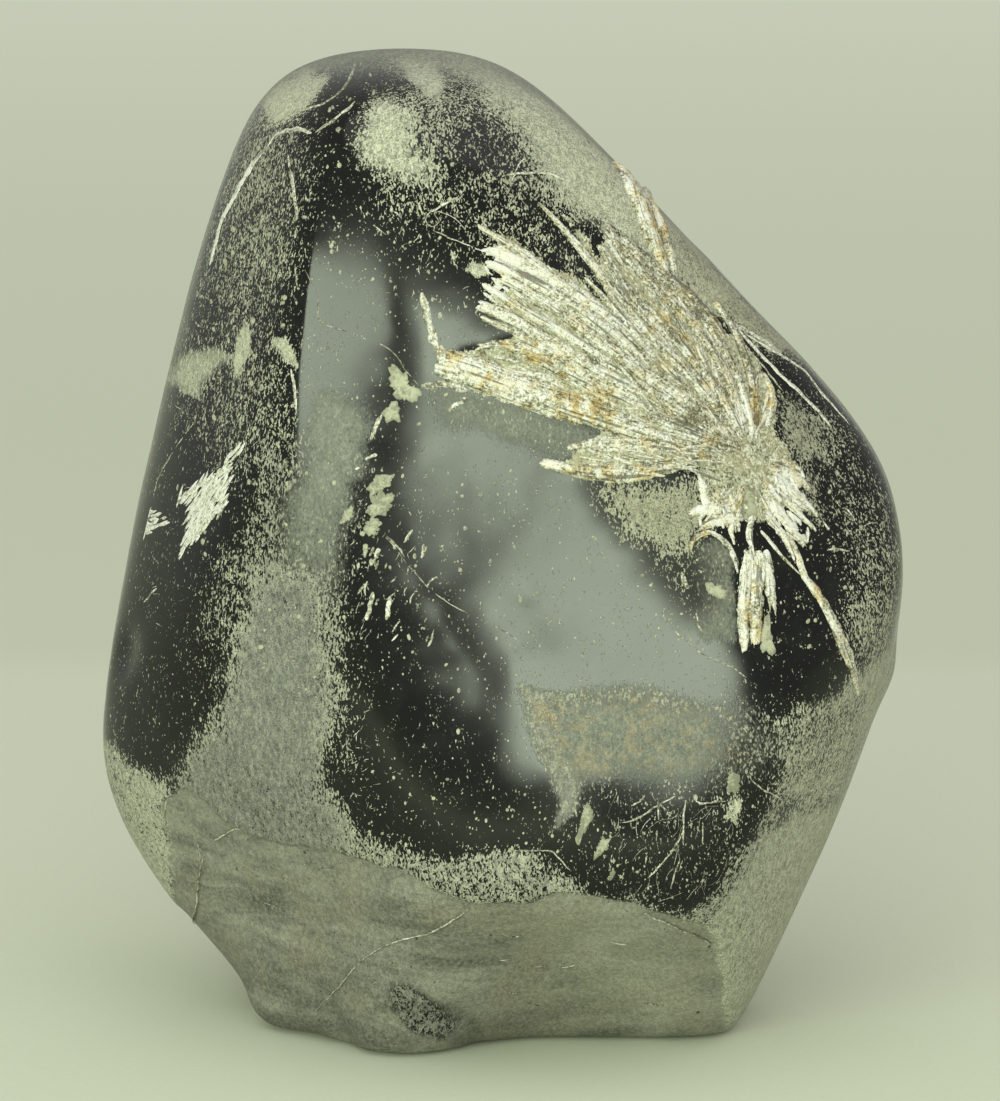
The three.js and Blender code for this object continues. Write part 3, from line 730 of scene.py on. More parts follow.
def newPile():
    return {"bm": bmesh.new(), "fibre": [], "tone": [], "stain": []}


def pileMesh(name, pile):
    mesh = bpy.data.meshes.new(name)
    pile["bm"].to_mesh(mesh)
    pile["bm"].free()
    keepMarks(mesh, {name: np.concatenate(pile[name]) for name in ("fibre", "tone", "stain")})
    return mesh


# across, height, size, strength
brightSpots = [
    (-3.1, 192.9, 4, 0.35), (1.5, 190, 5, 0.3), (-3, 184, 3.5, 0.35), (-9, 170, 4, 0.3), (1.9, 164.8, 5, 0.3),
    (24, 150.8, 5, 0.1), (11.5, 146.7, 2.5, 0.5), (45.5, 137, 3, 0.5), (66, 139, 5, 0.4), (65, 132, 4, 0.35),
    (50, 133.6, 3, 0.3), (58, 123.8, 4, 0.4), (56, 156, 3, 0.35), (-5, 198.7, 3, 0.3), (68.8, 120, 3, 0.3),
    (57, 106, 3, 0.25),
]
ochreSpots = [
    (3.3, 185, 2.2, 0.9), (0.7, 172.6, 2, 0.6), (6.9, 170.8, 2.4, 0.9), (13.3, 168, 2.6, 0.7), (17, 159.6, 4, 0.8),
    (22, 158.4, 3.5, 0.8), (-14.3, 170, 1.6, 0.9), (-10.7, 171.8, 1.8, 0.7), (-2.7, 165, 2.2, 0.7),
    (39.5, 197, 4, 0.6), (60.3, 158.6, 3, 0.7), (61.1, 147, 3, 0.6), (58.4, 141.7, 4, 0.5), (45.5, 129.3, 3, 0.7),
    (58.9, 112, 4, 0.6), (72.1, 116.4, 2.4, 0.7), (75.9, 107.2, 2, 0.5), (37, 178, 4, 0.4), (44, 176, 4, 0.35),
    (53, 180, 3, 0.3), (45, 166, 4, 0.3), (50, 160, 4, 0.3), (31.7, 152, 4, 0.25), (22.5, 145.2, 4, 0.35),
    (34, 145.5, 3, 0.35), (46.7, 151.3, 3, 0.3),
]
darkSpots = [
    (43.7, 156.9, 2.2, 0.45), (38.7, 194.9, 2, 0.3), (48, 184, 2, 0.3), (58.1, 176.5, 2.5, 0.4),
    (61.7, 151.7, 1.2, 0.5), (40, 175.3, 2, 0.25), (61.7, 124, 1.4, 0.5),
]

# name: path from the tip, widths, proud, tone, stain, ragged tip
crystalBlades = {
    "upperFanA": ([(23.6, 198.9), (28.4, 192.3), (36.6, 184.1), (45.9, 174.8)], (3.4, 4, 4.5, 4), 1.5, 0.5, 0.1, 1.6),
    "upperFanB": ([(22.6, 194.9), (26.1, 188.8), (31.8, 180.2), (41.1, 170.9)], (2.2, 3.4, 3.8, 3.4), 1.6, 0.55, 0.05,
        1.2),
    "upperFanC": ([(27.3, 196.6), (34.3, 189.6), (43.6, 180.6), (50.6, 172.2)], (3, 4, 4.4, 4), 1.3, 0.42, 0.1, 1.2),
    "upperFanD": ([(33, 191.5), (39, 186.5), (46, 180), (53, 171)], (1.6, 3, 3.6, 3.6), 1.3, 0.4, 0.2, 1),
    "needle": ([(8.8, 204.6), (13.4, 199.8), (20.3, 191.6), (24.9, 185), (31.8, 175.9)], (0.8, 2, 2.4, 2.4, 2.2), 1.4,
        0.72, 0.02, 1.4),
    "needleLow": ([(19, 188.2), (24, 182.8), (30, 176.2), (36, 168.5)], (0.7, 1.8, 2.4, 2.4), 1.4, 0.66, 0.05, 1),
    "leftSpear": ([(-5.6, 200.3), (0.7, 196.4), (7.6, 191.6), (22.5, 180.5)], (1, 2.8, 2.4, 2.2), 1.4, 0.74, 0.1,
        1.2),
    "mainTop": ([(-2.7, 194.9), (6.5, 190.9), (16.8, 184.8), (30, 175)], (3.4, 4, 4, 3.4), 1.9, 0.8, 0.02, 2.4),
    "mainSecond": ([(-3.1, 192), (6.5, 187.8), (20.2, 179.4), (34.1, 167.8)], (3, 3.6, 4, 3.6), 2.2, 0.74, 0.06, 2.2),
    "mainThird": ([(-0.4, 188.6), (9.9, 183), (22.5, 173.8), (34, 164.8)], (2.4, 3.4, 3.6, 3), 2, 0.66, 0.15, 1.6),
    "whiteStreak": ([(-4.1, 187), (-0.4, 184.6), (5, 181.2), (14, 175.9), (26, 168.6)], (1.4, 2.2, 2.6, 2.4, 2), 2.1,
        0.84, 0.02, 1.4),
    "mainFoot": ([(-5.6, 182.6), (1.9, 179.4), (11, 173.9), (22.5, 167.4), (33, 161.4)], (2.8, 3.8, 4.2, 4, 3.4), 2,
        0.72, 0.05, 1.8),
    "mainFootLow": ([(-4.6, 179.6), (3, 176.2), (12, 171.2), (22, 165.6), (32, 160.5)], (1.4, 2.4, 2.6, 2.6, 2.2),
        1.7, 0.62, 0.12, 1.2),
    "stainedBlade": ([(-5.6, 172.9), (-0.4, 173.6), (6.5, 171.6), (13.3, 168.3), (26, 161.8)],
        (1.6, 3.2, 4.4, 4.2, 3), 1.7, 0.62, 0.15, 1),
    "broadBlade": ([(-15, 170), (-7.3, 167.5), (-0.4, 165), (13.3, 160), (22.5, 157), (34, 152.9), (44, 149.6)],
        (7.6, 8.4, 8.2, 7.2, 5.6, 4.4, 3), 2.3, 0.64, 0.12, 1.8),
    "lowWhite": ([(15.2, 150.2), (22.5, 151.2), (35.1, 150.6), (44, 149)], (1.4, 4.4, 4.6, 3), 1.4, 0.66, 0.02, 2),
    "lowStained": ([(9, 146.9), (17.9, 145), (27.1, 144.2), (36.5, 145)], (2, 4, 5.2, 3), 1.4, 0.55, 0.25, 1),
    "innerA": ([(27.2, 182.7), (36.4, 172.4), (45.7, 163.1), (54.9, 150.7)], (1.2, 3.4, 4, 2.6), 1.9, 0.6, 0.05, 1.4),
    "innerB": ([(34.2, 180), (43.4, 169.7), (50.4, 160.6), (56.1, 150.5)], (1.8, 3.6, 3.8, 2.4), 1.9, 0.55, 0.1, 1.4),
    "innerC": ([(38.5, 182.6), (46.5, 173), (52.4, 163), (56.4, 151.5)], (1.8, 3.4, 3.4, 2.2), 1.8, 0.5, 0.1, 1.4),
    "innerD": ([(43.6, 181.2), (50.4, 172.3), (55, 162.4), (57.6, 151.5)], (2, 3.4, 3.4, 2.2), 1.7, 0.5, 0.15, 1.4),
    "innerE": ([(49.5, 180.5), (54.5, 173), (57.8, 163), (58.6, 152.5)], (1.6, 3, 3, 2), 1.5, 0.45, 0.15, 1.4),
    "innerF": ([(26, 171.5), (35.2, 164.9), (43.3, 159.1), (53.7, 150.8)], (1.4, 3.8, 4.2, 3), 1.8, 0.6, 0.05, 1.4),
    "innerG": ([(30, 166), (38, 160), (46, 155), (55, 149.5)], (1.4, 3.4, 3.8, 3), 1.7, 0.52, 0.05, 1.4),
    "innerLow": ([(32, 157.8), (41, 154.4), (49, 151), (56, 148.5)], (1.6, 4, 4.6, 3.4), 1.6, 0.5, 0.1, 1.2),
    "bright": ([(54.2, 164.2), (56, 159), (57.4, 154.2), (57.8, 150)], (0.9, 1.8, 2, 1.6), 2.3, 0.86, 0, 0.8),
    "ochreBlade": ([(58, 163), (59.1, 157.7), (59.3, 151.6)], (0.9, 2, 1.6), 2, 0.5, 0.45, 0.6),
    "hookedBlade": ([(60.8, 164.4), (62.8, 158.8), (61.4, 152.2)], (0.8, 3, 2.2), 1.9, 0.7, 0.2, 0.6),
    "edgeBlade": ([(26, 211.5), (29.2, 208), (31.6, 204), (33.8, 198.7), (35.8, 192.9), (38.6, 187)],
        (3, 6.5, 6.5, 5.5, 4, 2), 3, 0.8, 0.3, 0.8),
    "edgeStrand": ([(33.5, 204), (36.2, 199.4), (38.4, 193.6), (40.5, 187)], (1.4, 3.4, 3.4, 2), 2.6, 0.8, 0.35, 0.8),
    "massTip": ([(70, 126), (66.8, 130.5), (63.6, 134.8), (60.6, 138.1)], (1, 2.8, 3.8, 3), 1.6, 0.85, 0, 2.2),
    "massSide": ([(72.5, 129.5), (68.6, 133.5), (65, 137), (61.5, 140)], (0.8, 2, 3, 2.6), 1.3, 0.72, 0.05, 1.6),
    "massMiddle": ([(73, 132.5), (69.7, 136.1), (65.8, 139.6), (62.3, 142)], (1.2, 3, 3.6, 3), 1.4, 0.8, 0.05, 1.8),
    "massHigh": ([(71.1, 138.5), (68.1, 141.3), (64.8, 142.9), (61.5, 143.8)], (1.6, 3, 3.2, 2.6), 1.3, 0.66, 0.15,
        1.4),
    "massTop": ([(69.8, 142.1), (67, 143.9), (64.3, 145.2), (61.5, 145.5)], (1.4, 2.8, 3, 2.6), 1.1, 0.58, 0.25, 1.4),
    "massLow": ([(67.6, 123.4), (65.2, 128.4), (62.6, 132.4), (60, 135.4)], (0.8, 1.8, 2.6, 2.4), 1.3, 0.8, 0, 1.6),
    "lowMassA": ([(44.6, 131.6), (48.3, 133.4), (52.1, 133.8), (56, 134.4)], (1.4, 3, 3.4, 2.6), 1.2, 0.85, 0.05, 2),
    "lowMassB": ([(43, 135.2), (46.7, 136.1), (50.5, 135.9), (54.8, 136)], (1.6, 3, 3.2, 2.6), 1.3, 0.84, 0, 2),
    "lowMassC": ([(45.2, 143.8), (46.2, 141.2), (46.7, 138.1), (48.3, 135)], (1.2, 2.4, 2.6, 2.4), 1.1, 0.85, 0, 1.4),
    "lowMassD": ([(53.4, 128.4), (52.8, 131.2), (54.4, 134.6)], (0.8, 2.2, 2.2), 1, 0.85, 0, 1.4),
    "lowMassE": ([(57.9, 125.6), (57, 128.9), (57, 131.4), (57.8, 135)], (0.8, 1.8, 2.2, 2.2), 1.2, 0.82, 0, 1.6),
    "downA": ([(55.6, 104), (55.6, 110.4), (55.9, 118.1), (56.8, 127)], (2, 3.4, 3.6, 2.8), 1.4, 0.78, 0, 3.4),
    "downB": ([(58.4, 105.6), (58.5, 112.9), (58.8, 119), (59, 127)], (2.6, 3.6, 3.6, 2.8), 1.5, 0.66, 0.2, 3.4),
    "downC": ([(62.4, 111.8), (61.9, 117.2), (61.4, 121.9), (60.6, 127)], (1.4, 3, 3, 2.4), 1.3, 0.8, 0, 3),
    "longBlade": ([(83.4, 89), (81.2, 98.2), (77.1, 108.1), (73.2, 115.2), (70, 119.6), (68.6, 123.7), (66.7, 127.5),
        (64, 130.3), (60.2, 133.7)], (0.5, 2, 3.4, 3.8, 3, 2.4, 2, 2, 1.6), 1.2, 0.68, 0.1, 1),
    "longStrand": ([(68.4, 120.6), (64.5, 124.7), (61.8, 128), (59.1, 131.3)], (0.4, 1, 1.2, 1.2), 0.9, 0.8, 0, 1),
}

bladeSettings = {"rise": 0.5, "ridges": 0.22, "stain": 0.08, "wander": 0.34, "wanderSize": 2.4, "shade": 0.35}
chance = random.Random(11)
pile, stock = newPile(), barStock(76, 10)
for number, (path, widths, proud, tone, stain, ragged) in enumerate(crystalBlades.values()):
    layBar(pile, stock, path, widths, bladeSettings["rise"] * proud, sink=1.6, seed=number + 1, ragged=ragged,
           ridges=bladeSettings["ridges"], tone=tone, stain=stain + bladeSettings["stain"],
           wander=bladeSettings["wander"], wanderSize=bladeSettings["wanderSize"], shade=bladeSettings["shade"])
bladeMesh = pileMesh("crystalBlades", pile)
print("blades laid:", len(bladeMesh.polygons), "faces")

splinterSettings = {
    "count": 360, "lengths": (4, 16), "widths": (0.6, 1.8), "lifts": (0.3, 0.85), "swing": 0.12, "heartGap": 7,
    "tones": (0.45, 0.85), "stains": (0, 0, 0, 0.2, 0.45),
    "bar": {"sink": 0.6, "ridges": 0.12, "blunt": 0.6, "tail": 1.6, "ragged": 0.5, "wander": 0.5, "wanderSize": 1.3,
            "shade": 0.25},
}


def scatter(outline, count, dice):
    corners = np.array(outline, float)
    low, high = corners.min(axis=0), corners.max(axis=0)
    picks = []
    while len(picks) < count:
        tries = np.array([[dice.uniform(low[0], high[0]), dice.uniform(low[1], high[1])] for _ in range(count)])
        picks += list(tries[coverage(tries, outline, 0.01) > 0.5])
    return picks[:count]


def splinterPath(start, aim, length, gap, swing, dice):
    way = np.array(aim, float) - start
    away = max(np.linalg.norm(way), 0.1)
    way /= away
    turn = dice.gauss(0, swing)
    cosine, sine = math.cos(turn), math.sin(turn)
    way = np.array([way[0] * cosine - way[1] * sine, way[0] * sine + way[1] * cosine])
    length = min(length, max(away - gap * dice.uniform(0.5, 1.2), 1.5))
    bow = np.array([-way[1], way[0]]) * dice.gauss(0, 0.03) * length
    return [tuple(start), tuple(start + way * length / 2 + bow), tuple(start + way * length)]


def laySplinter(path, width, number, settings):
    layBar(pile, stock, path, (width * 0.5, width, width * 0.7), chance.uniform(*settings["lifts"]),
           seed=100 + number, tone=chance.uniform(*settings["tones"]), stain=chance.choice(settings["stains"]),
           **settings["bar"])


pile, stock = newPile(), barStock(12, 3)
settings = splinterSettings
for number, start in enumerate(scatter(sprayBed, settings["count"], chance)):
    length = chance.uniform(*settings["lengths"])
    path = splinterPath(start, sprayCentre, length, settings["heartGap"], settings["swing"], chance)
    if np.linalg.norm(np.array(path[2]) - path[0]) < 2:
        continue
    laySplinter(path, chance.uniform(*settings["widths"]), number, settings)
crumbSettings = {
    "swing": 0.35, "lifts": (0.5, 1.1), "tones": (0.6, 1.0), "stains": (0, 0, 0.1, 0.3),
    "bar": {"sink": 0.8, "ridges": 0.15, "blunt": 0.5, "tail": 0.8, "ragged": 0.9, "wander": 0.55, "wanderSize": 1,
            "shade": 0.4},
}
# crumbly white heads where the fibres break off: outline, count, lengths, widths, aim
crumbs = {
    "rightCrumbs": ([(60.5, 137), (63, 143), (70, 141), (73, 133), (70.5, 126), (66, 128.5), (63, 133)], 34,
        (1.6, 4.5), (0.9, 2.2), (55, 151)),
    "lowCrumbs": ([(43.5, 136), (45, 143), (49, 139), (56, 137.5), (58.5, 130), (54, 128), (50, 131), (45, 131)], 30,
        (1.4, 4), (0.9, 2.2), (52, 156)),
    "downCrumbs": ([(55.4, 127), (60.8, 127.5), (60.8, 118), (60.4, 111), (57.5, 110), (55.6, 105), (55.1, 113)], 20,
        (1.6, 5), (0.7, 1.6), (58.5, 200)),
    "headCrumbs": ([(-6, 196), (2, 195), (6, 189), (3, 182), (-5, 180), (-4, 188)], 30, (1.4, 4), (0.7, 1.8),
        (40, 168)),
    "broadCrumbs": ([(-15, 171), (-6, 170), (6, 165.5), (4, 162), (-8, 164), (-15, 167.5)], 26, (1.4, 4), (0.8, 2),
        (40, 152)),
}
for outline, count, lengths, widths, aimSpot in crumbs.values():
    for start in scatter(outline, count, chance):
        path = splinterPath(start, aimSpot, chance.uniform(*lengths), 0, crumbSettings["swing"], chance)
        number += 1
        laySplinter(path, chance.uniform(*widths), number, crumbSettings)
splinterMesh = pileMesh("crystalSplinters", pile)
print("splinters laid:", len(splinterMesh.polygons), "faces")

crystalFinish = {
    "dark": (0.10, 0.096, 0.065), "khaki": (0.30, 0.288, 0.206), "cream": (0.50, 0.492, 0.40),
    "white": (0.78, 0.775, 0.745), "ochre": (0.95, 0.80, 0.50), "brown": (0.70, 0.54, 0.30), "ior": 1.55,
    "bump": 0.0002, "splits": 900, "stainSpots": 330,
    "threads": (2000, 1.5), "curds": (900, 3.0), "steps": (380, 1.2), "grains": (2200, 1.7),   # scale, contrast
}


def makeCrystalMaterial(colours):
    material, tree, shader = freshMaterial("paleCrystal")
    spot = tree.nodes.new("ShaderNodeTexCoord").outputs["Object"]
    fibre = marked(tree, "fibre", "Vector")
    tone, stain = marked(tree, "tone"), marked(tree, "stain")
    threads = cloud(tree, placed(tree, fibre, scale=(0.08, 1, 1)), colours["threads"][0], 2.5, 0.6)
    splits = cloud(tree, placed(tree, fibre, shift=(0, 0.3, 0.7), scale=(0.045, 1, 1)), colours["splits"], 1, 0.5)
    steps = cloud(tree, placed(tree, fibre, scale=(0.5, 1, 1)), colours["steps"][0], 3, 0.6)
    curds = cloud(tree, spot, colours["curds"][0], 3, 0.62, 1.3)
    grains = cloud(tree, spot, colours["grains"][0], 2, 0.6)
    value = plus(tree, centred(tree, threads, colours["threads"][1]), centred(tree, curds, colours["curds"][1]))
    value = plus(tree, value, centred(tree, steps, colours["steps"][1]))
    value = plus(tree, value, centred(tree, grains, colours["grains"][1]))
    value = plus(tree, value, tone)
    colour = tinted(tree, span(tree, value, 0.08, 0.3), colours["dark"], colours["khaki"])
    colour = tinted(tree, span(tree, value, 0.32, 0.6), colour, colours["cream"])
    colour = tinted(tree, span(tree, value, 0.66, 0.95), colour, colours["white"])
    crack = times(tree, span(tree, splits, 0.60, 0.65), span(tree, steps, 0.42, 0.55))
    colour = tinted(tree, times(tree, crack, 0.8), colour, colours["dark"])
    spread = cloud(tree, spot, colours["stainSpots"], 3, 0.65, 0.3)
    stained = times(tree, plus(tree, stain, 0.12), span(tree, spread, 0.4, 0.62, 0.1, 1.0), clamp=True)
    stainShare = times(tree, stained, 1.6, clamp=True)
    colour = tinted(tree, stainShare, colour, tinted(tree, 1.0, colour, colours["ochre"], "MULTIPLY"))
    deep = times(tree, span(tree, stained, 0.35, 0.9), span(tree, grains, 0.45, 0.6))
    colour = tinted(tree, deep, colour, tinted(tree, 1.0, colour, colours["brown"], "MULTIPLY"))
    feed(tree, shader.inputs["Base Color"], colour)
    feed(tree, shader.inputs["Roughness"], span(tree, grains, 0.3, 0.7, 0.38, 0.62))
    shader.inputs["IOR"].default_value = colours["ior"]
    height = plus(tree, times(tree, threads, 0.6), times(tree, curds, 1.6))
    height = minus(tree, height, times(tree, crack, 0.7))
    feed(tree, shader.inputs["Normal"], bumped(tree, height, colours["bump"], 0.8))
    return material


crystal = makeCrystalMaterial(crystalFinish)
showPiece("crystalBlades", bladeMesh, crystal)
showPiece("crystalSplinters", splinterMesh, crystal)

# name: width, tone, path
paleVeins = {
    "seamWhite": (2.6, 0.95, [(-72, 187.4), (-67.8, 194.1), (-64.7, 199.6), (-61.6, 205.2), (-58.6, 210.3),
        (-54.8, 215.4)]),
    "seamArc": (1.4, 0.8, [(-55, 215), (-53, 217.6), (-51.1, 219), (-47.4, 220.3), (-43.4, 220.1)]),
    "seamOut": (0.9, 0.45, [(-43.4, 220.1), (-39.5, 222.8), (-36, 225.4), (-33.5, 227.5)]),
    "seamCrown": (0.9, 0.35, [(-54.2, 219.2), (-47.8, 223.7), (-40.8, 226.6), (-36.3, 230), (-34.3, 233.6)]),
    "ridgeBlobs": (1.5, 0.5, [(-49.7, 215.1), (-48.6, 210.3), (-47.8, 206.1), (-47.3, 201.8), (-47.3, 196.3)]),
    "crackMain": (0.5, 0.3, [(-45.5, 190.5), (-42.5, 184.5), (-41.5, 178.5), (-34.8, 176.3), (-30.2, 174.3),
        (-25.7, 172.5), (-24.2, 170.8), (-22, 167.8), (-20.1, 165.3), (-17.8, 163)]),
    "ribbonLow": (2.2, 0.42, [(-19, 164), (-15.9, 164.3), (-12.9, 164.5), (-10.7, 164.1), (-7, 162.6)]),
    "ribbonHigh": (2.2, 0.45, [(-18.5, 185.8), (-17.3, 181.3), (-16.4, 177.9), (-15.5, 175), (-14.6, 171)]),
    "blobTail": (1.2, 0.4, [(-27.2, 158.3), (-28.9, 154.8), (-30.3, 151)]),
    "dashKhaki": (1.5, 0.45, [(-12.4, 158.2), (-10.7, 159.7), (-6.9, 161.7)]),
    "dashB": (1.1, 0.6, [(-34.3, 144.8), (-31.8, 145.9)]),
    "dashC": (1.2, 0.55, [(-32, 146.9), (-28, 149)]),
    "dashF": (1.6, 0.5, [(-29.5, 118), (-30.5, 113.5), (-31.5, 110)]),
    "dashG": (1.5, 0.5, [(-25.5, 117), (-26.2, 113), (-27, 110.5)]),
    "dashD": (1.6, 0.5, [(-29.2, 124.5), (-28.1, 127.8)]),
    "dashE": (1.1, 0.55, [(-18.2, 125), (-18, 128.7)]),
    "lineF": (0.8, 0.6, [(-26.7, 130.5), (-24.7, 128.6), (-22, 125)]),
    "arch": (1.5, 0.45, [(43, 125.2), (43.4, 127.6), (44.4, 129.4), (46.2, 130.7), (48.3, 130.9), (50.4, 129.2),
        (52.6, 127.1), (53.7, 123.9), (54.6, 120.8)]),
    "pocketSquiggle": (0.8, 0.5, [(44.9, 114.2), (44.6, 112.1), (45.4, 109.5), (47, 108)]),
    "pocketWedge": (1.2, 0.45, [(40.9, 122.7), (41.7, 120.6), (42.7, 117.7)]),
    "knifeA": (0.6, 0.5, [(27.3, 65.3), (31.2, 66.2), (35.5, 69.1), (40.3, 71.6)]),
    "knifeB": (0.5, 0.5, [(35.8, 73.5), (35.9, 65.8), (35.5, 59.3)]),
    "knifeC": (0.6, 0.5, [(42.2, 70.9), (41.8, 65.7), (41.8, 59.6)]),
    "knifeD": (0.6, 0.5, [(41.8, 63.2), (37.8, 56.7), (33.2, 52.1)]),
    "knifeE": (0.6, 0.5, [(41.3, 57.3), (39.7, 53.3), (39.1, 49.2)]),
    "knifeF": (0.5, 0.5, [(46.2, 65.7), (46.1, 59.8)]),
    "knifeG": (0.7, 0.5, [(43.6, 70.9), (46.1, 69.5), (52, 70)]),
    "knifeH": (0.5, 0.5, [(36.4, 69.1), (39.7, 67.1)]),
    "knifeJ": (0.6, 0.5, [(29.3, 69.1), (31.9, 70.4), (33.2, 72)]),
    "footArc": (0.6, 0.5, [(0.8, 59.2), (6.7, 58.9), (11.8, 58.6), (16.4, 53.6)]),
    "shoulderA": (1.3, 0.75, [(52, 176.4), (60.3, 171.6), (65.9, 167.6)]),
    "shoulderB": (1.4, 0.75, [(53, 176), (64.1, 164.3), (71.5, 157.3), (78, 149.7)]),
    "shoulderC": (1, 0.75, [(56, 173.4), (69.7, 164.3), (74.4, 159), (81.9, 150.3)]),
    "shoulderD": (0.8, 0.65, [(54, 173.4), (60, 166.5), (66, 159.4)]),
    "ridgeLineB": (0.7, 0.6, [(-47.5, 191.5), (-47, 185)]),
    "ridgeLineC": (0.9, 0.6, [(-48.5, 168), (-47.5, 161.5), (-47, 156.5)]),
    "bellyHair": (0.4, 0.45, [(-27, 130.5), (-20, 122), (-13, 115.5), (-0.5, 109.5), (6, 105)]),
    "rightHair": (0.4, 0.5, [(35.5, 114.5), (38.5, 110), (45.5, 104), (53.5, 100), (62, 93.5)]),
    "sprayHair": (0.5, 0.6, [(-16.5, 199.5), (-10.5, 197), (-3.5, 194)]),
    "curl": (0.4, 0.55, [(-12.5, 206), (-16, 203.5), (-17.5, 201.5), (-16, 200), (-14.5, 201), (-15.5, 203),
        (-14, 203.5), (-10.5, 201.5), (-7.5, 199)]),
    "curlTail": (0.8, 0.6, [(-16.5, 203), (-12.5, 205.5), (-9.5, 206.5)]),
    "hook": (0.5, 0.55, [(-26, 204), (-24, 203), (-22.5, 200), (-22.5, 197.5)]),
    "browHairA": (0.4, 0.5, [(-32, 201.5), (-28, 199.5), (-25.5, 197), (-24.5, 194.5)]),
    "browHairB": (0.3, 0.5, [(-39, 198.5), (-37, 201), (-34, 203)]),
    "whiteStreakTop": (0.8, 0.75, [(-0.5, 211), (4, 211.5), (10, 211.5), (13.5, 210), (15.5, 209)]),
    "domeHair": (0.5, 0.55, [(-0.5, 208), (2.5, 210), (3.5, 213), (5.5, 215)]),
    "flankHairA": (0.4, 0.5, [(-85, 128.5), (-80.5, 137.5), (-76, 145), (-72, 150.5)]),
    "flankHairB": (0.3, 0.5, [(-70, 155), (-69.5, 145.5)]),
    "flankHairC": (0.4, 0.5, [(-53, 154), (-50, 151), (-45.5, 148)]),
    "flankHairD": (0.3, 0.5, [(-79, 152), (-76, 151), (-77, 148), (-80, 145.5)]),
    "flankDash": (0.8, 0.6, [(-86, 105), (-84, 107.5), (-82, 110)]),
    "footSeam": (0.3, 0.6, [(-45, 9), (-37, 20.5), (-32, 27.5), (-25, 33), (-16.5, 36.5), (-7.5, 44)]),
    "cheekSeam": (0.4, 0.5, [(-71.5, 45.5), (-73, 39), (-74, 31.5), (-76, 22)]),
    "cheekLoop": (0.4, 0.6, [(-81, 51.5), (-80.5, 58), (-79, 61), (-76, 63.5), (-72.5, 63), (-68, 60.5), (-63, 59),
        (-59, 58)]),
    "cheekHair": (0.3, 0.5, [(-84.5, 57.5), (-82.5, 59.5), (-80.5, 60.5)]),
    "cheekLink": (0.5, 0.6, [(-69.5, 50), (-66.5, 52.5), (-62.5, 55.5), (-59, 55.5)]),
    "ledgeHair": (0.3, 0.5, [(33, 43), (39.5, 39), (46.5, 34.5), (50, 31.5)]),
    "rightCurl": (0.6, 0.55, [(56, 76.5), (59, 73), (63, 70), (68.5, 65)]),
    "rightDash": (0.5, 0.6, [(55, 87), (57.5, 84), (59.5, 81)]),
    "rimSeam": (0.3, 0.5, [(64, 74), (69.5, 72), (78, 68)]),
    "bar": (0.7, 0.65, [(75, 124.5), (78.5, 124.5), (81, 123.5)]),
    "rightSpotA": (0.8, 0.6, [(80, 133.5), (81.5, 131.5), (82.5, 130.5)]),
    "rightSpotB": (0.8, 0.6, [(74.5, 131.5), (75.5, 129.5), (76.5, 129)]),
    "rightCurve": (0.4, 0.5, [(84, 128.5), (86.5, 129), (89, 128.5)]),
}
backVeins = {
    "backSeam": (0.9, 0.75, [(-70, 150), (-52, 158), (-34, 160), (-12, 172), (4, 176), (22, 190)]),
    "backSeamFork": (0.6, 0.65, [(-34, 160), (-28, 148), (-18, 138), (-14, 124)]),
    "backHair": (0.4, 0.55, [(20, 70), (34, 84), (42, 104), (58, 118), (66, 134)]),
    "backLowHair": (0.4, 0.5, [(-62, 40), (-44, 52), (-30, 58), (-8, 56)]),
}
# hair scratches: outline, count, lengths, steepness, width
scratchAreas = [
    ([(22, 68), (54, 66), (50, 44), (26, 46)], 44, (2, 9), 70, 0.15),
    ([(-37, 82), (-24, 82), (-22, 66), (-34, 58)], 22, (1, 3), 10, 0.18),
    ([(-28, 122), (-10, 118), (2, 96), (2, 62), (-30, 66), (-34, 96)], 120, (0.6, 1.8), 120, 0.22),
    ([(-36, 140), (-24, 146), (-20, 120), (-34, 110)], 34, (1, 3.4), 80, 0.3),
    ([(-84, 150), (-60, 166), (-50, 140), (-64, 104), (-90, 96)], 40, (0.8, 3), 50, 0.22),
    ([(66, 120), (88, 132), (90, 110), (74, 92)], 60, (0.6, 1.6), 100, 0.25),
    ([(-30, 206), (0, 206), (10, 196), (-20, 178)], 46, (1, 3.6), 60, 0.25),
    ([(0, 40), (48, 36), (46, 12), (-8, 8)], 8, (2, 7), 175, 0.08),
    ([(-76, 54), (-36, 50), (-30, 20), (-70, 10)], 12, (2, 6), 40, 0.08),
    ([(-34.4, 127.8), (-18.8, 130.3), (-16, 115.7), (-14.2, 104.5), (-34.5, 103.2)], 30, (1.8, 5.2), 66, 1.0),
    ([(-40, 96), (-32, 96), (-30, 60), (-38, 62)], 60, (1, 3), 60, 0.25),
]

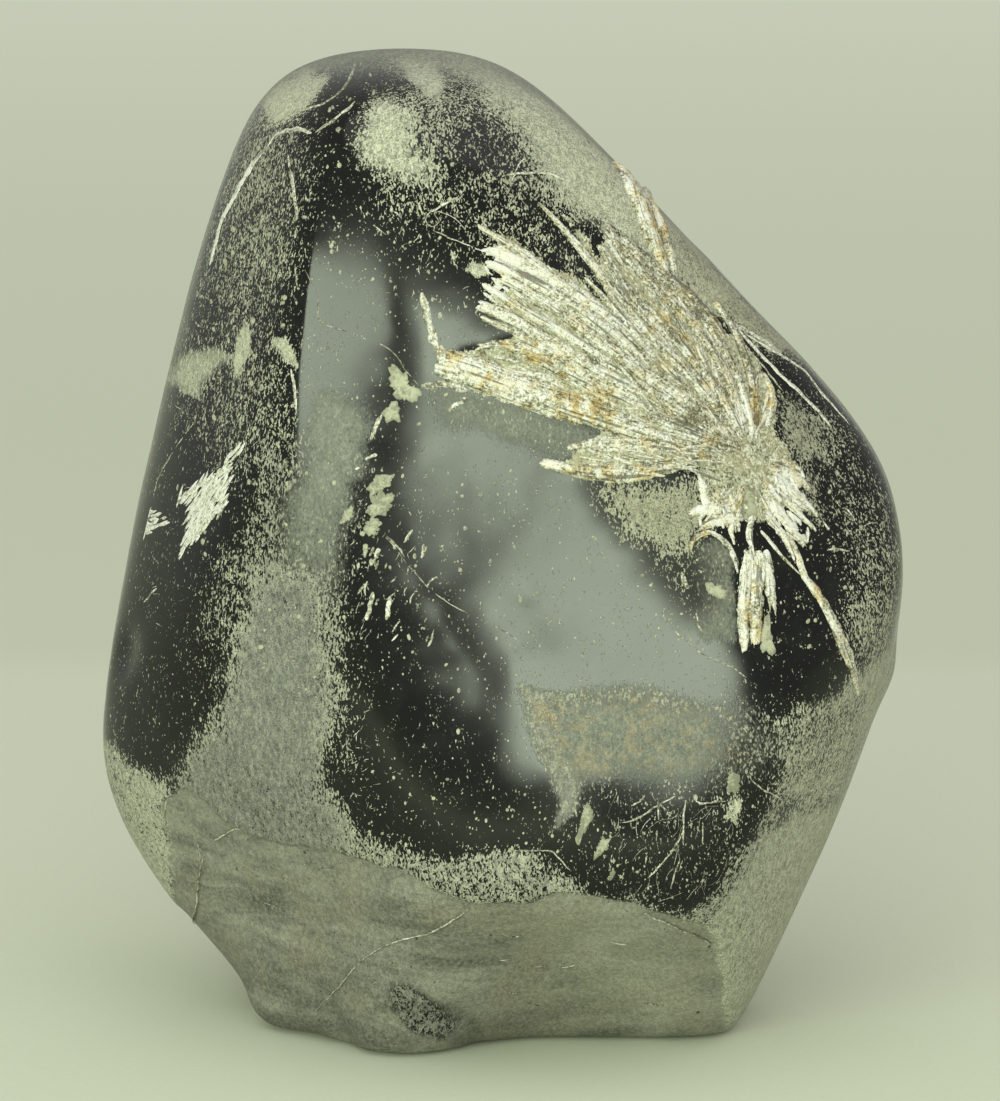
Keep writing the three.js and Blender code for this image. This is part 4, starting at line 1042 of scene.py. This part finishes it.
veinSettings = {"sink": 0.4, "ridges": 0.02, "blunt": 0.8, "tail": 0.8, "wander": 0.5, "wanderSize": 1.7}
veinTaper = np.array([0.4, 1, 0.8, 1, 0.4])
pile, stock, fineStock = newPile(), barStock(44, 4), barStock(5, 2)
for number, (name, (width, tone, path)) in enumerate(paleVeins.items()):
    if width < 0.9:
        width, tone = width * 0.8, tone - 0.12
    layBar(pile, stock, path, width * veinTaper, 0.14, seed=700 + number, tone=tone + 0.05, edge=0.05,
           dips=0.25 if width < 0.45 or "Blobs" in name else 0, sway=0.1 if width > 2.5 else 0.3, **veinSettings)
for number, (width, tone, path) in enumerate(backVeins.values()):
    layBar(pile, stock, path, width * veinTaper, 0.09, seed=760 + number, tone=tone, edge=0.1, dips=0.08, sway=0.3,
           side=1, **veinSettings)
number = 800
for outline, count, lengths, slant, width in scratchAreas:
    for start in scatter(outline, count, chance):
        heading = math.radians(slant + chance.gauss(0, 10 if width > 0.5 else 22))
        length = chance.uniform(*lengths)
        way = np.array([math.cos(heading), math.sin(heading)]) * length
        bow = np.array([-way[1], way[0]]) * chance.gauss(0, 0.1)
        path = [tuple(start), tuple(start + way / 2 + bow), tuple(start + way)]
        layBar(pile, fineStock, path, (width * 0.4, width, width * 0.4), 0.05, sink=0.25, seed=number, ridges=0,
               blunt=0.3, tail=0.3, tone=chance.uniform(0.35, 0.6) - (0.06 if width > 0.5 else 0), edge=0.05)
        number += 1

# pale crystal flakes on the left flank
flankFlakes = {
    "upperFlakes": ([(-58, 150), (-62, 145), (-64, 140), (-64, 134), (-68, 130), (-71, 125), (-75, 120), (-77, 122),
        (-74, 127), (-74, 131), (-77, 132), (-72, 136), (-67, 141), (-63, 146)], 130, (3, 8), 55),
    "heartFlakes": ([(-75, 122), (-73, 131), (-69, 136), (-66, 134), (-69, 128)], 60, (3, 7), 62),
    "lowerStripes": ([(-88, 126), (-81, 127), (-80, 125), (-84, 121), (-89, 118)], 40, (2, 6), 32),
}
for outline, count, lengths, slant in flankFlakes.values():
    for start in scatter(outline, count, chance):
        heading = math.radians(slant + chance.gauss(0, 8))
        way = np.array([math.cos(heading), math.sin(heading)]) * chance.uniform(*lengths)
        path = [tuple(start - way / 2), tuple(start), tuple(start + way / 2)]
        layBar(pile, fineStock, path, (0.3, chance.uniform(0.9, 1.7), 0.3), 0.2, sink=0.4, seed=number, ridges=0,
               blunt=0.6, tail=0.6, tone=chance.uniform(0.7, 1.1), edge=0.05)
        number += 1
veinMesh = pileMesh("paleVeins", pile)
showPiece("paleVeins", veinMesh, crystal)
print("veins laid:", len(veinMesh.polygons), "faces")


# Smooth cream plates and dots, each a flattened ball laid on the stone.

def roundStock(segments, rings):
    bm = bmesh.new()
    bmesh.ops.create_uvsphere(bm, u_segments=segments, v_segments=rings, radius=1)
    return madeMesh("roundStock", bm)


def roundedOutline(outline):
    # smooth closed line through the corners
    knots = np.array(outline, float)
    fours = zip(*(np.roll(knots, shift, axis=0) for shift in (1, 0, -1, -2)))
    return np.vstack([curved(*four) for four in fours])


def layPlate(pile, stock, outline, proud, tone, seed=0, sink=0.5, ragged=0.0):
    mesh, ball = stock
    line = roundedOutline(outline)
    centre = line.mean(axis=0)
    angles = np.arctan2(line[:, 1] - centre[1], line[:, 0] - centre[0])
    order = np.argsort(angles)
    reach = np.linalg.norm(line - centre, axis=1)[order]
    turn = np.arctan2(ball[:, 1], ball[:, 0])
    rim = np.clip(np.linalg.norm(ball[:, :2], axis=1), 0, 1)
    rags = 1 + ragged * (waves(columns(np.cos(turn) * 2, np.sin(turn) * 2, seed * 3.3), 1.0, 1)
                         + 0.5 * waves(columns(np.cos(turn) * 2, np.sin(turn) * 2, seed * 7.1), 0.35, 2))
    flat = centre + ball[:, :2] * (np.interp(turn, angles[order], reach, period=2 * math.pi) * rags)[:, None]
    spots = facePoints(flat)
    if abs(heightOver(spots)).max() > 0.5 or stoneNormals(spots)[:, 1].max() > -0.12:
        return   # past the rim of the stone
    lift = np.where(ball[:, 2] > 0.01, proud * (1 - rim ** 5), np.where(ball[:, 2] < -0.01, -sink, -0.06))
    spots = spots + stoneNormals(spots) * lift[:, None]
    mesh.vertices.foreach_set("co", ((spots + middle) / 1000).ravel())
    pile["bm"].from_mesh(mesh)
    pile["fibre"].append(columns(rim, rim, seed * 0.37))
    pile["tone"].append(np.full(len(rim), tone))
    # on plates the stain mark holds a darkening towards each plate's rim
    pile["stain"].append(eased(rim, 0.6, 1.0))


# name: proud, tone, outline
creamPlates = {
    "downLobe": (0.3, 0.55, [(59.6, 107.7), (60.4, 112.8), (61.7, 112.2), (62, 107.6), (62.9, 103.9), (62, 102.1),
        (60.6, 102.9), (59.7, 105)]),
    "pocketBlob": (0.25, 0.5, [(46.7, 118.9), (48.3, 119.7), (50.5, 118.6), (51.8, 117), (51, 115.7), (48.9, 116.3),
        (47.3, 117.3)]),
    "heartOval": (0.45, 0.5, [(55.5, 141.1), (57.2, 141.6), (59, 140.2), (59.7, 137.3), (59.2, 134.7), (57.6, 133.3),
        (55.7, 134.1), (54.8, 137.1)]),
    "blobA": (0.2, 0.6, [(-24.8, 168.4), (-23.1, 168.4), (-22, 167.5), (-21.2, 165.6), (-20.8, 164), (-19.3, 163.8),
        (-19, 162.3), (-19.1, 160.8), (-20.1, 160.4), (-22.7, 160.8), (-24.2, 160.8), (-25.2, 162.6), (-25.7, 165.2),
        (-25.7, 167.1)]),
    "blobB": (0.2, 0.5, [(-24.6, 160.8), (-23.7, 160.2), (-23.3, 158.2), (-23.3, 156.5), (-24.6, 155.7),
        (-26.5, 155.9), (-27.2, 157), (-27.4, 158.5), (-26.1, 159.8)]),
    "flakeA": (0.18, 0.45, [(-24.1, 144.5), (-25, 142.4), (-27.7, 140.3), (-30.3, 139), (-30.5, 140.1),
        (-29.7, 142.8), (-28, 143.9), (-25.8, 143.9)]),
    "flakeB": (0.18, 0.4, [(-30.9, 137.5), (-28.4, 139.8), (-26.9, 140), (-24.6, 140), (-24.1, 139.1), (-25, 137.2),
        (-26.2, 135.7), (-28, 134.6), (-29.6, 134.5), (-30.9, 136)]),
    "flakeC": (0.18, 0.45, [(-31.4, 132.7), (-29.6, 134.5), (-28, 133.5), (-28, 132), (-29.6, 130.1),
        (-31.1, 129.7)]),
    "flakeD": (0.15, 0.5, [(-31.8, 127.7), (-30.9, 128.1), (-30.8, 126.3), (-31.6, 125.6)]),
    "flakeE": (0.15, 0.45, [(-37.1, 133.1), (-36, 135.6), (-34.3, 136.4), (-34.3, 134.9), (-35.2, 133.3),
        (-37.1, 132.5)]),
    "squareChip": (0.15, 0.35, [(52, 76.2), (54.6, 76.1), (54.5, 72.5), (52, 72.5)]),
    "tongueA": (0.15, 0.3, [(19.9, 70.6), (21.2, 67.3), (18.9, 62.8), (17.7, 58.9), (16.4, 60.9), (17.6, 63.5),
        (18.6, 67.4)]),
    "tongueB": (0.15, 0.3, [(22.8, 61.5), (25.4, 62.7), (23.5, 58.2), (20.9, 56.2)]),
    "tongueC": (0.15, 0.3, [(25.4, 54.8), (26.1, 53.5), (24.5, 51.5)]),
}
# outline, count, sizes, stretch
dotFields = {
    "flankDots": ([(-60, 228), (-46, 226), (-44, 200), (-48, 176), (-50, 150), (-66, 140), (-84, 150), (-80, 176),
        (-70, 206)], 150, (0.25, 0.8), 1.5),
    "waistDots": ([(-60, 140), (-40, 150), (-30, 140), (-18, 124), (-14, 100), (-34, 100), (-38, 84), (-66, 104),
        (-76, 120)], 120, (0.25, 0.75), 1.5),
    "browDots": ([(-40, 214), (10, 208), (18, 196), (-4, 184), (-30, 176), (-42, 190)], 110, (0.2, 0.6), 1.4),
    "bellyDots": ([(-30, 176), (-8, 160), (20, 142), (24, 120), (0, 100), (-12, 80), (-20, 100), (-22, 140)], 60,
        (0.2, 0.6), 1.5),
    "rightDots": ([(66, 128), (80, 146), (94, 120), (96, 98), (80, 92), (68, 104)], 90, (0.2, 0.65), 1.4),
    "crownDots": ([(-44, 238), (-20, 236), (-8, 214), (-30, 208), (-44, 218)], 60, (0.25, 0.7), 1.4),
    "footDots": ([(-36, 78), (6, 74), (14, 62), (50, 58), (58, 72), (66, 66), (56, 50), (10, 56), (-30, 58)], 110,
        (0.2, 0.6), 1.4),
    "pitDots": ([(24, 140), (44, 142), (52, 128), (56, 104), (40, 100), (26, 124)], 50, (0.2, 0.6), 1.4),
}
plateRise = 0.5
pile, stock, dotStock = newPile(), roundStock(72, 16), roundStock(8, 4)
for number, (proud, tone, outline) in enumerate(creamPlates.values()):
    layPlate(pile, stock, outline, proud * plateRise, tone, seed=number, ragged=0.45)
for outline, count, sizes, stretch in dotFields.values():
    for start in scatter(outline, count, chance):
        size = sizes[0] + (sizes[1] - sizes[0]) * chance.random() ** 2.2
        lean = math.radians(chance.gauss(65, 30))
        long, short = size * chance.uniform(1, stretch), size * chance.uniform(0.6, 1)
        ring = [(start[0] + long * math.cos(turn) * math.cos(lean) - short * math.sin(turn) * math.sin(lean),
                 start[1] + long * math.cos(turn) * math.sin(lean) + short * math.sin(turn) * math.cos(lean))
                for turn in (chance.uniform(-0.3, 0.3) + step * math.pi / 3 for step in range(6))]
        layPlate(pile, dotStock, ring, 0.05, chance.uniform(0.25, 0.85), seed=number, sink=0.3)
        number += 1
plateMesh = pileMesh("creamPlates", pile)
print("plates laid:", len(plateMesh.polygons), "faces")

plateFinish = {
    "shade": (0.20, 0.20, 0.135), "cream": (0.44, 0.44, 0.31), "rim": (0.16, 0.158, 0.105), "roughness": 0.45,
    "bump": 0.0002, "mottle": (420, 2.4), "pores": (1900, 1.6),   # scale, contrast
}
material, tree, shader = freshMaterial("creamPlate")
spot = tree.nodes.new("ShaderNodeTexCoord").outputs["Object"]
mottle = cloud(tree, spot, plateFinish["mottle"][0], 4, 0.6, 0.5)
pores = cloud(tree, spot, plateFinish["pores"][0], 2, 0.6)
value = plus(tree, marked(tree, "tone"), centred(tree, mottle, plateFinish["mottle"][1]))
value = plus(tree, value, centred(tree, pores, plateFinish["pores"][1]))
colour = tinted(tree, span(tree, value, 0.05, 0.8), plateFinish["shade"], plateFinish["cream"])
colour = tinted(tree, times(tree, marked(tree, "stain"), 0.55), colour, plateFinish["rim"])
feed(tree, shader.inputs["Base Color"], colour)
shader.inputs["Roughness"].default_value = plateFinish["roughness"]
feed(tree, shader.inputs["Normal"], bumped(tree, mottle, plateFinish["bump"], 0.5))
showPiece("creamPlates", plateMesh, material)


# Floor, light and camera
studio = {
    "floorSize": 16, "floor": (0.665, 0.70, 0.56), "floorFar": (0.63, 0.667, 0.525), "floorEnd": (0.76, 0.795, 0.66),
    "paintedSweepStep": (0.34, 0.40), "paintedLightFade": (0.5, 3.5), "grain": (0.8, 0.82, 0.68), "grainScale": 700,
    "roughness": 0.85, "specular": 0.2,
    "world": (0.60, 0.62, 0.565), "worldStrength": 0.835,
    "sunEnergy": 0.9, "sunAngle": 70, "sunFrom": (0.2, -0.75, 1.6),
    "boxes": {   # centre, width, height, turn, tilt, radiance
        "leftStrip": ((-0.463, -1.632, 0.441), 2.26, 0.24, -82.5, 10, 9.8),
        "rightGlow": ((0.115, -1.5, 0.30), 0.46, 0.35, 0, 0, 3.2),
        "rightBox": ((0.115, -1.499, 0.30), 0.38, 0.27, 0, 0, 8.8),
    },
    "boxTint": (0.875, 1.0, 0.765),
    "target": (0.25, 2.15, 115.8), "elevation": 12, "distance": 1100, "lens": 149.2,
}

bm = bmesh.new()
bmesh.ops.create_grid(bm, x_segments=2, y_segments=2, size=studio["floorSize"] / 2)
floorMesh = bpy.data.meshes.new("studioFloor")
bm.to_mesh(floorMesh)
bm.free()
floor = bpy.data.objects.new("studioFloor", floorMesh)
bpy.context.scene.collection.objects.link(floor)
material, tree, shader = freshMaterial("palePaper")
spot = tree.nodes.new("ShaderNodeTexCoord").outputs["Object"]
axes = tree.nodes.new("ShaderNodeSeparateXYZ")
tree.links.new(spot, axes.inputs[0])
grainy = span(tree, cloud(tree, spot, studio["grainScale"], 2, 0.6), 0.35, 0.65, 0.0, 1.0)
near = tinted(tree, times(tree, grainy, 0.12), studio["floor"], studio["grain"])
# painted light: past the sweep line the floor turns a little darker, then lighter with distance, standing in for the
# light on a backdrop sweep
far = tinted(tree, span(tree, axes.outputs[1], *studio["paintedLightFade"]), studio["floorFar"], studio["floorEnd"])
colour = tinted(tree, span(tree, axes.outputs[1], *studio["paintedSweepStep"]), near, far)
feed(tree, shader.inputs["Base Color"], colour)
shader.inputs["Roughness"].default_value = studio["roughness"]
shader.inputs["Specular IOR Level"].default_value = studio["specular"]
floorMesh.materials.append(material)

world = bpy.data.worlds.new("studioWorld")
world.use_nodes = True
background = world.node_tree.nodes["Background"]
background.inputs["Color"].default_value = (*studio["world"], 1)
background.inputs["Strength"].default_value = studio["worldStrength"]
bpy.context.scene.world = world

sun = bpy.data.objects.new("skyPanel", bpy.data.lights.new("skyPanel", "SUN"))
sun.data.energy, sun.data.angle = studio["sunEnergy"], math.radians(studio["sunAngle"])
sun.rotation_euler = (-Vector(studio["sunFrom"])).to_track_quat("-Z", "Y").to_euler()
bpy.context.scene.collection.objects.link(sun)
for name, (centre, width, height, turn, tilt, radiance) in studio["boxes"].items():
    box = bpy.data.objects.new(name, bpy.data.lights.new(name, "AREA"))
    box.data.shape, box.data.size, box.data.size_y = "RECTANGLE", width, height
    box.data.energy = radiance * math.pi * width * height
    box.data.color = studio["boxTint"]
    box.location = centre
    turn, tilt = math.radians(turn), math.radians(tilt)
    level, up = Vector((math.cos(turn), math.sin(turn), 0)), Vector((0, 0, 1))
    facing = Vector((-math.sin(turn), math.cos(turn), 0))
    along, over = level * math.cos(tilt) + up * math.sin(tilt), up * math.cos(tilt) - level * math.sin(tilt)
    box.rotation_euler = Matrix((along, over, -facing)).transposed().to_euler()
    bpy.context.scene.collection.objects.link(box)

camera = bpy.data.objects.new("camera", bpy.data.cameras.new("camera"))
camera.data.lens, camera.data.sensor_width = studio["lens"], 36
rise = math.radians(studio["elevation"])
target = Vector(studio["target"]) / 1000
back = Vector((0, -math.cos(rise), math.sin(rise)))
camera.location = target + back * studio["distance"] / 1000
camera.rotation_euler = (-back).to_track_quat("-Z", "Y").to_euler()
bpy.context.scene.collection.objects.link(camera)
bpy.context.scene.camera = camera
bpy.context.scene.view_settings.view_transform = "Standard"
print("studio ready")
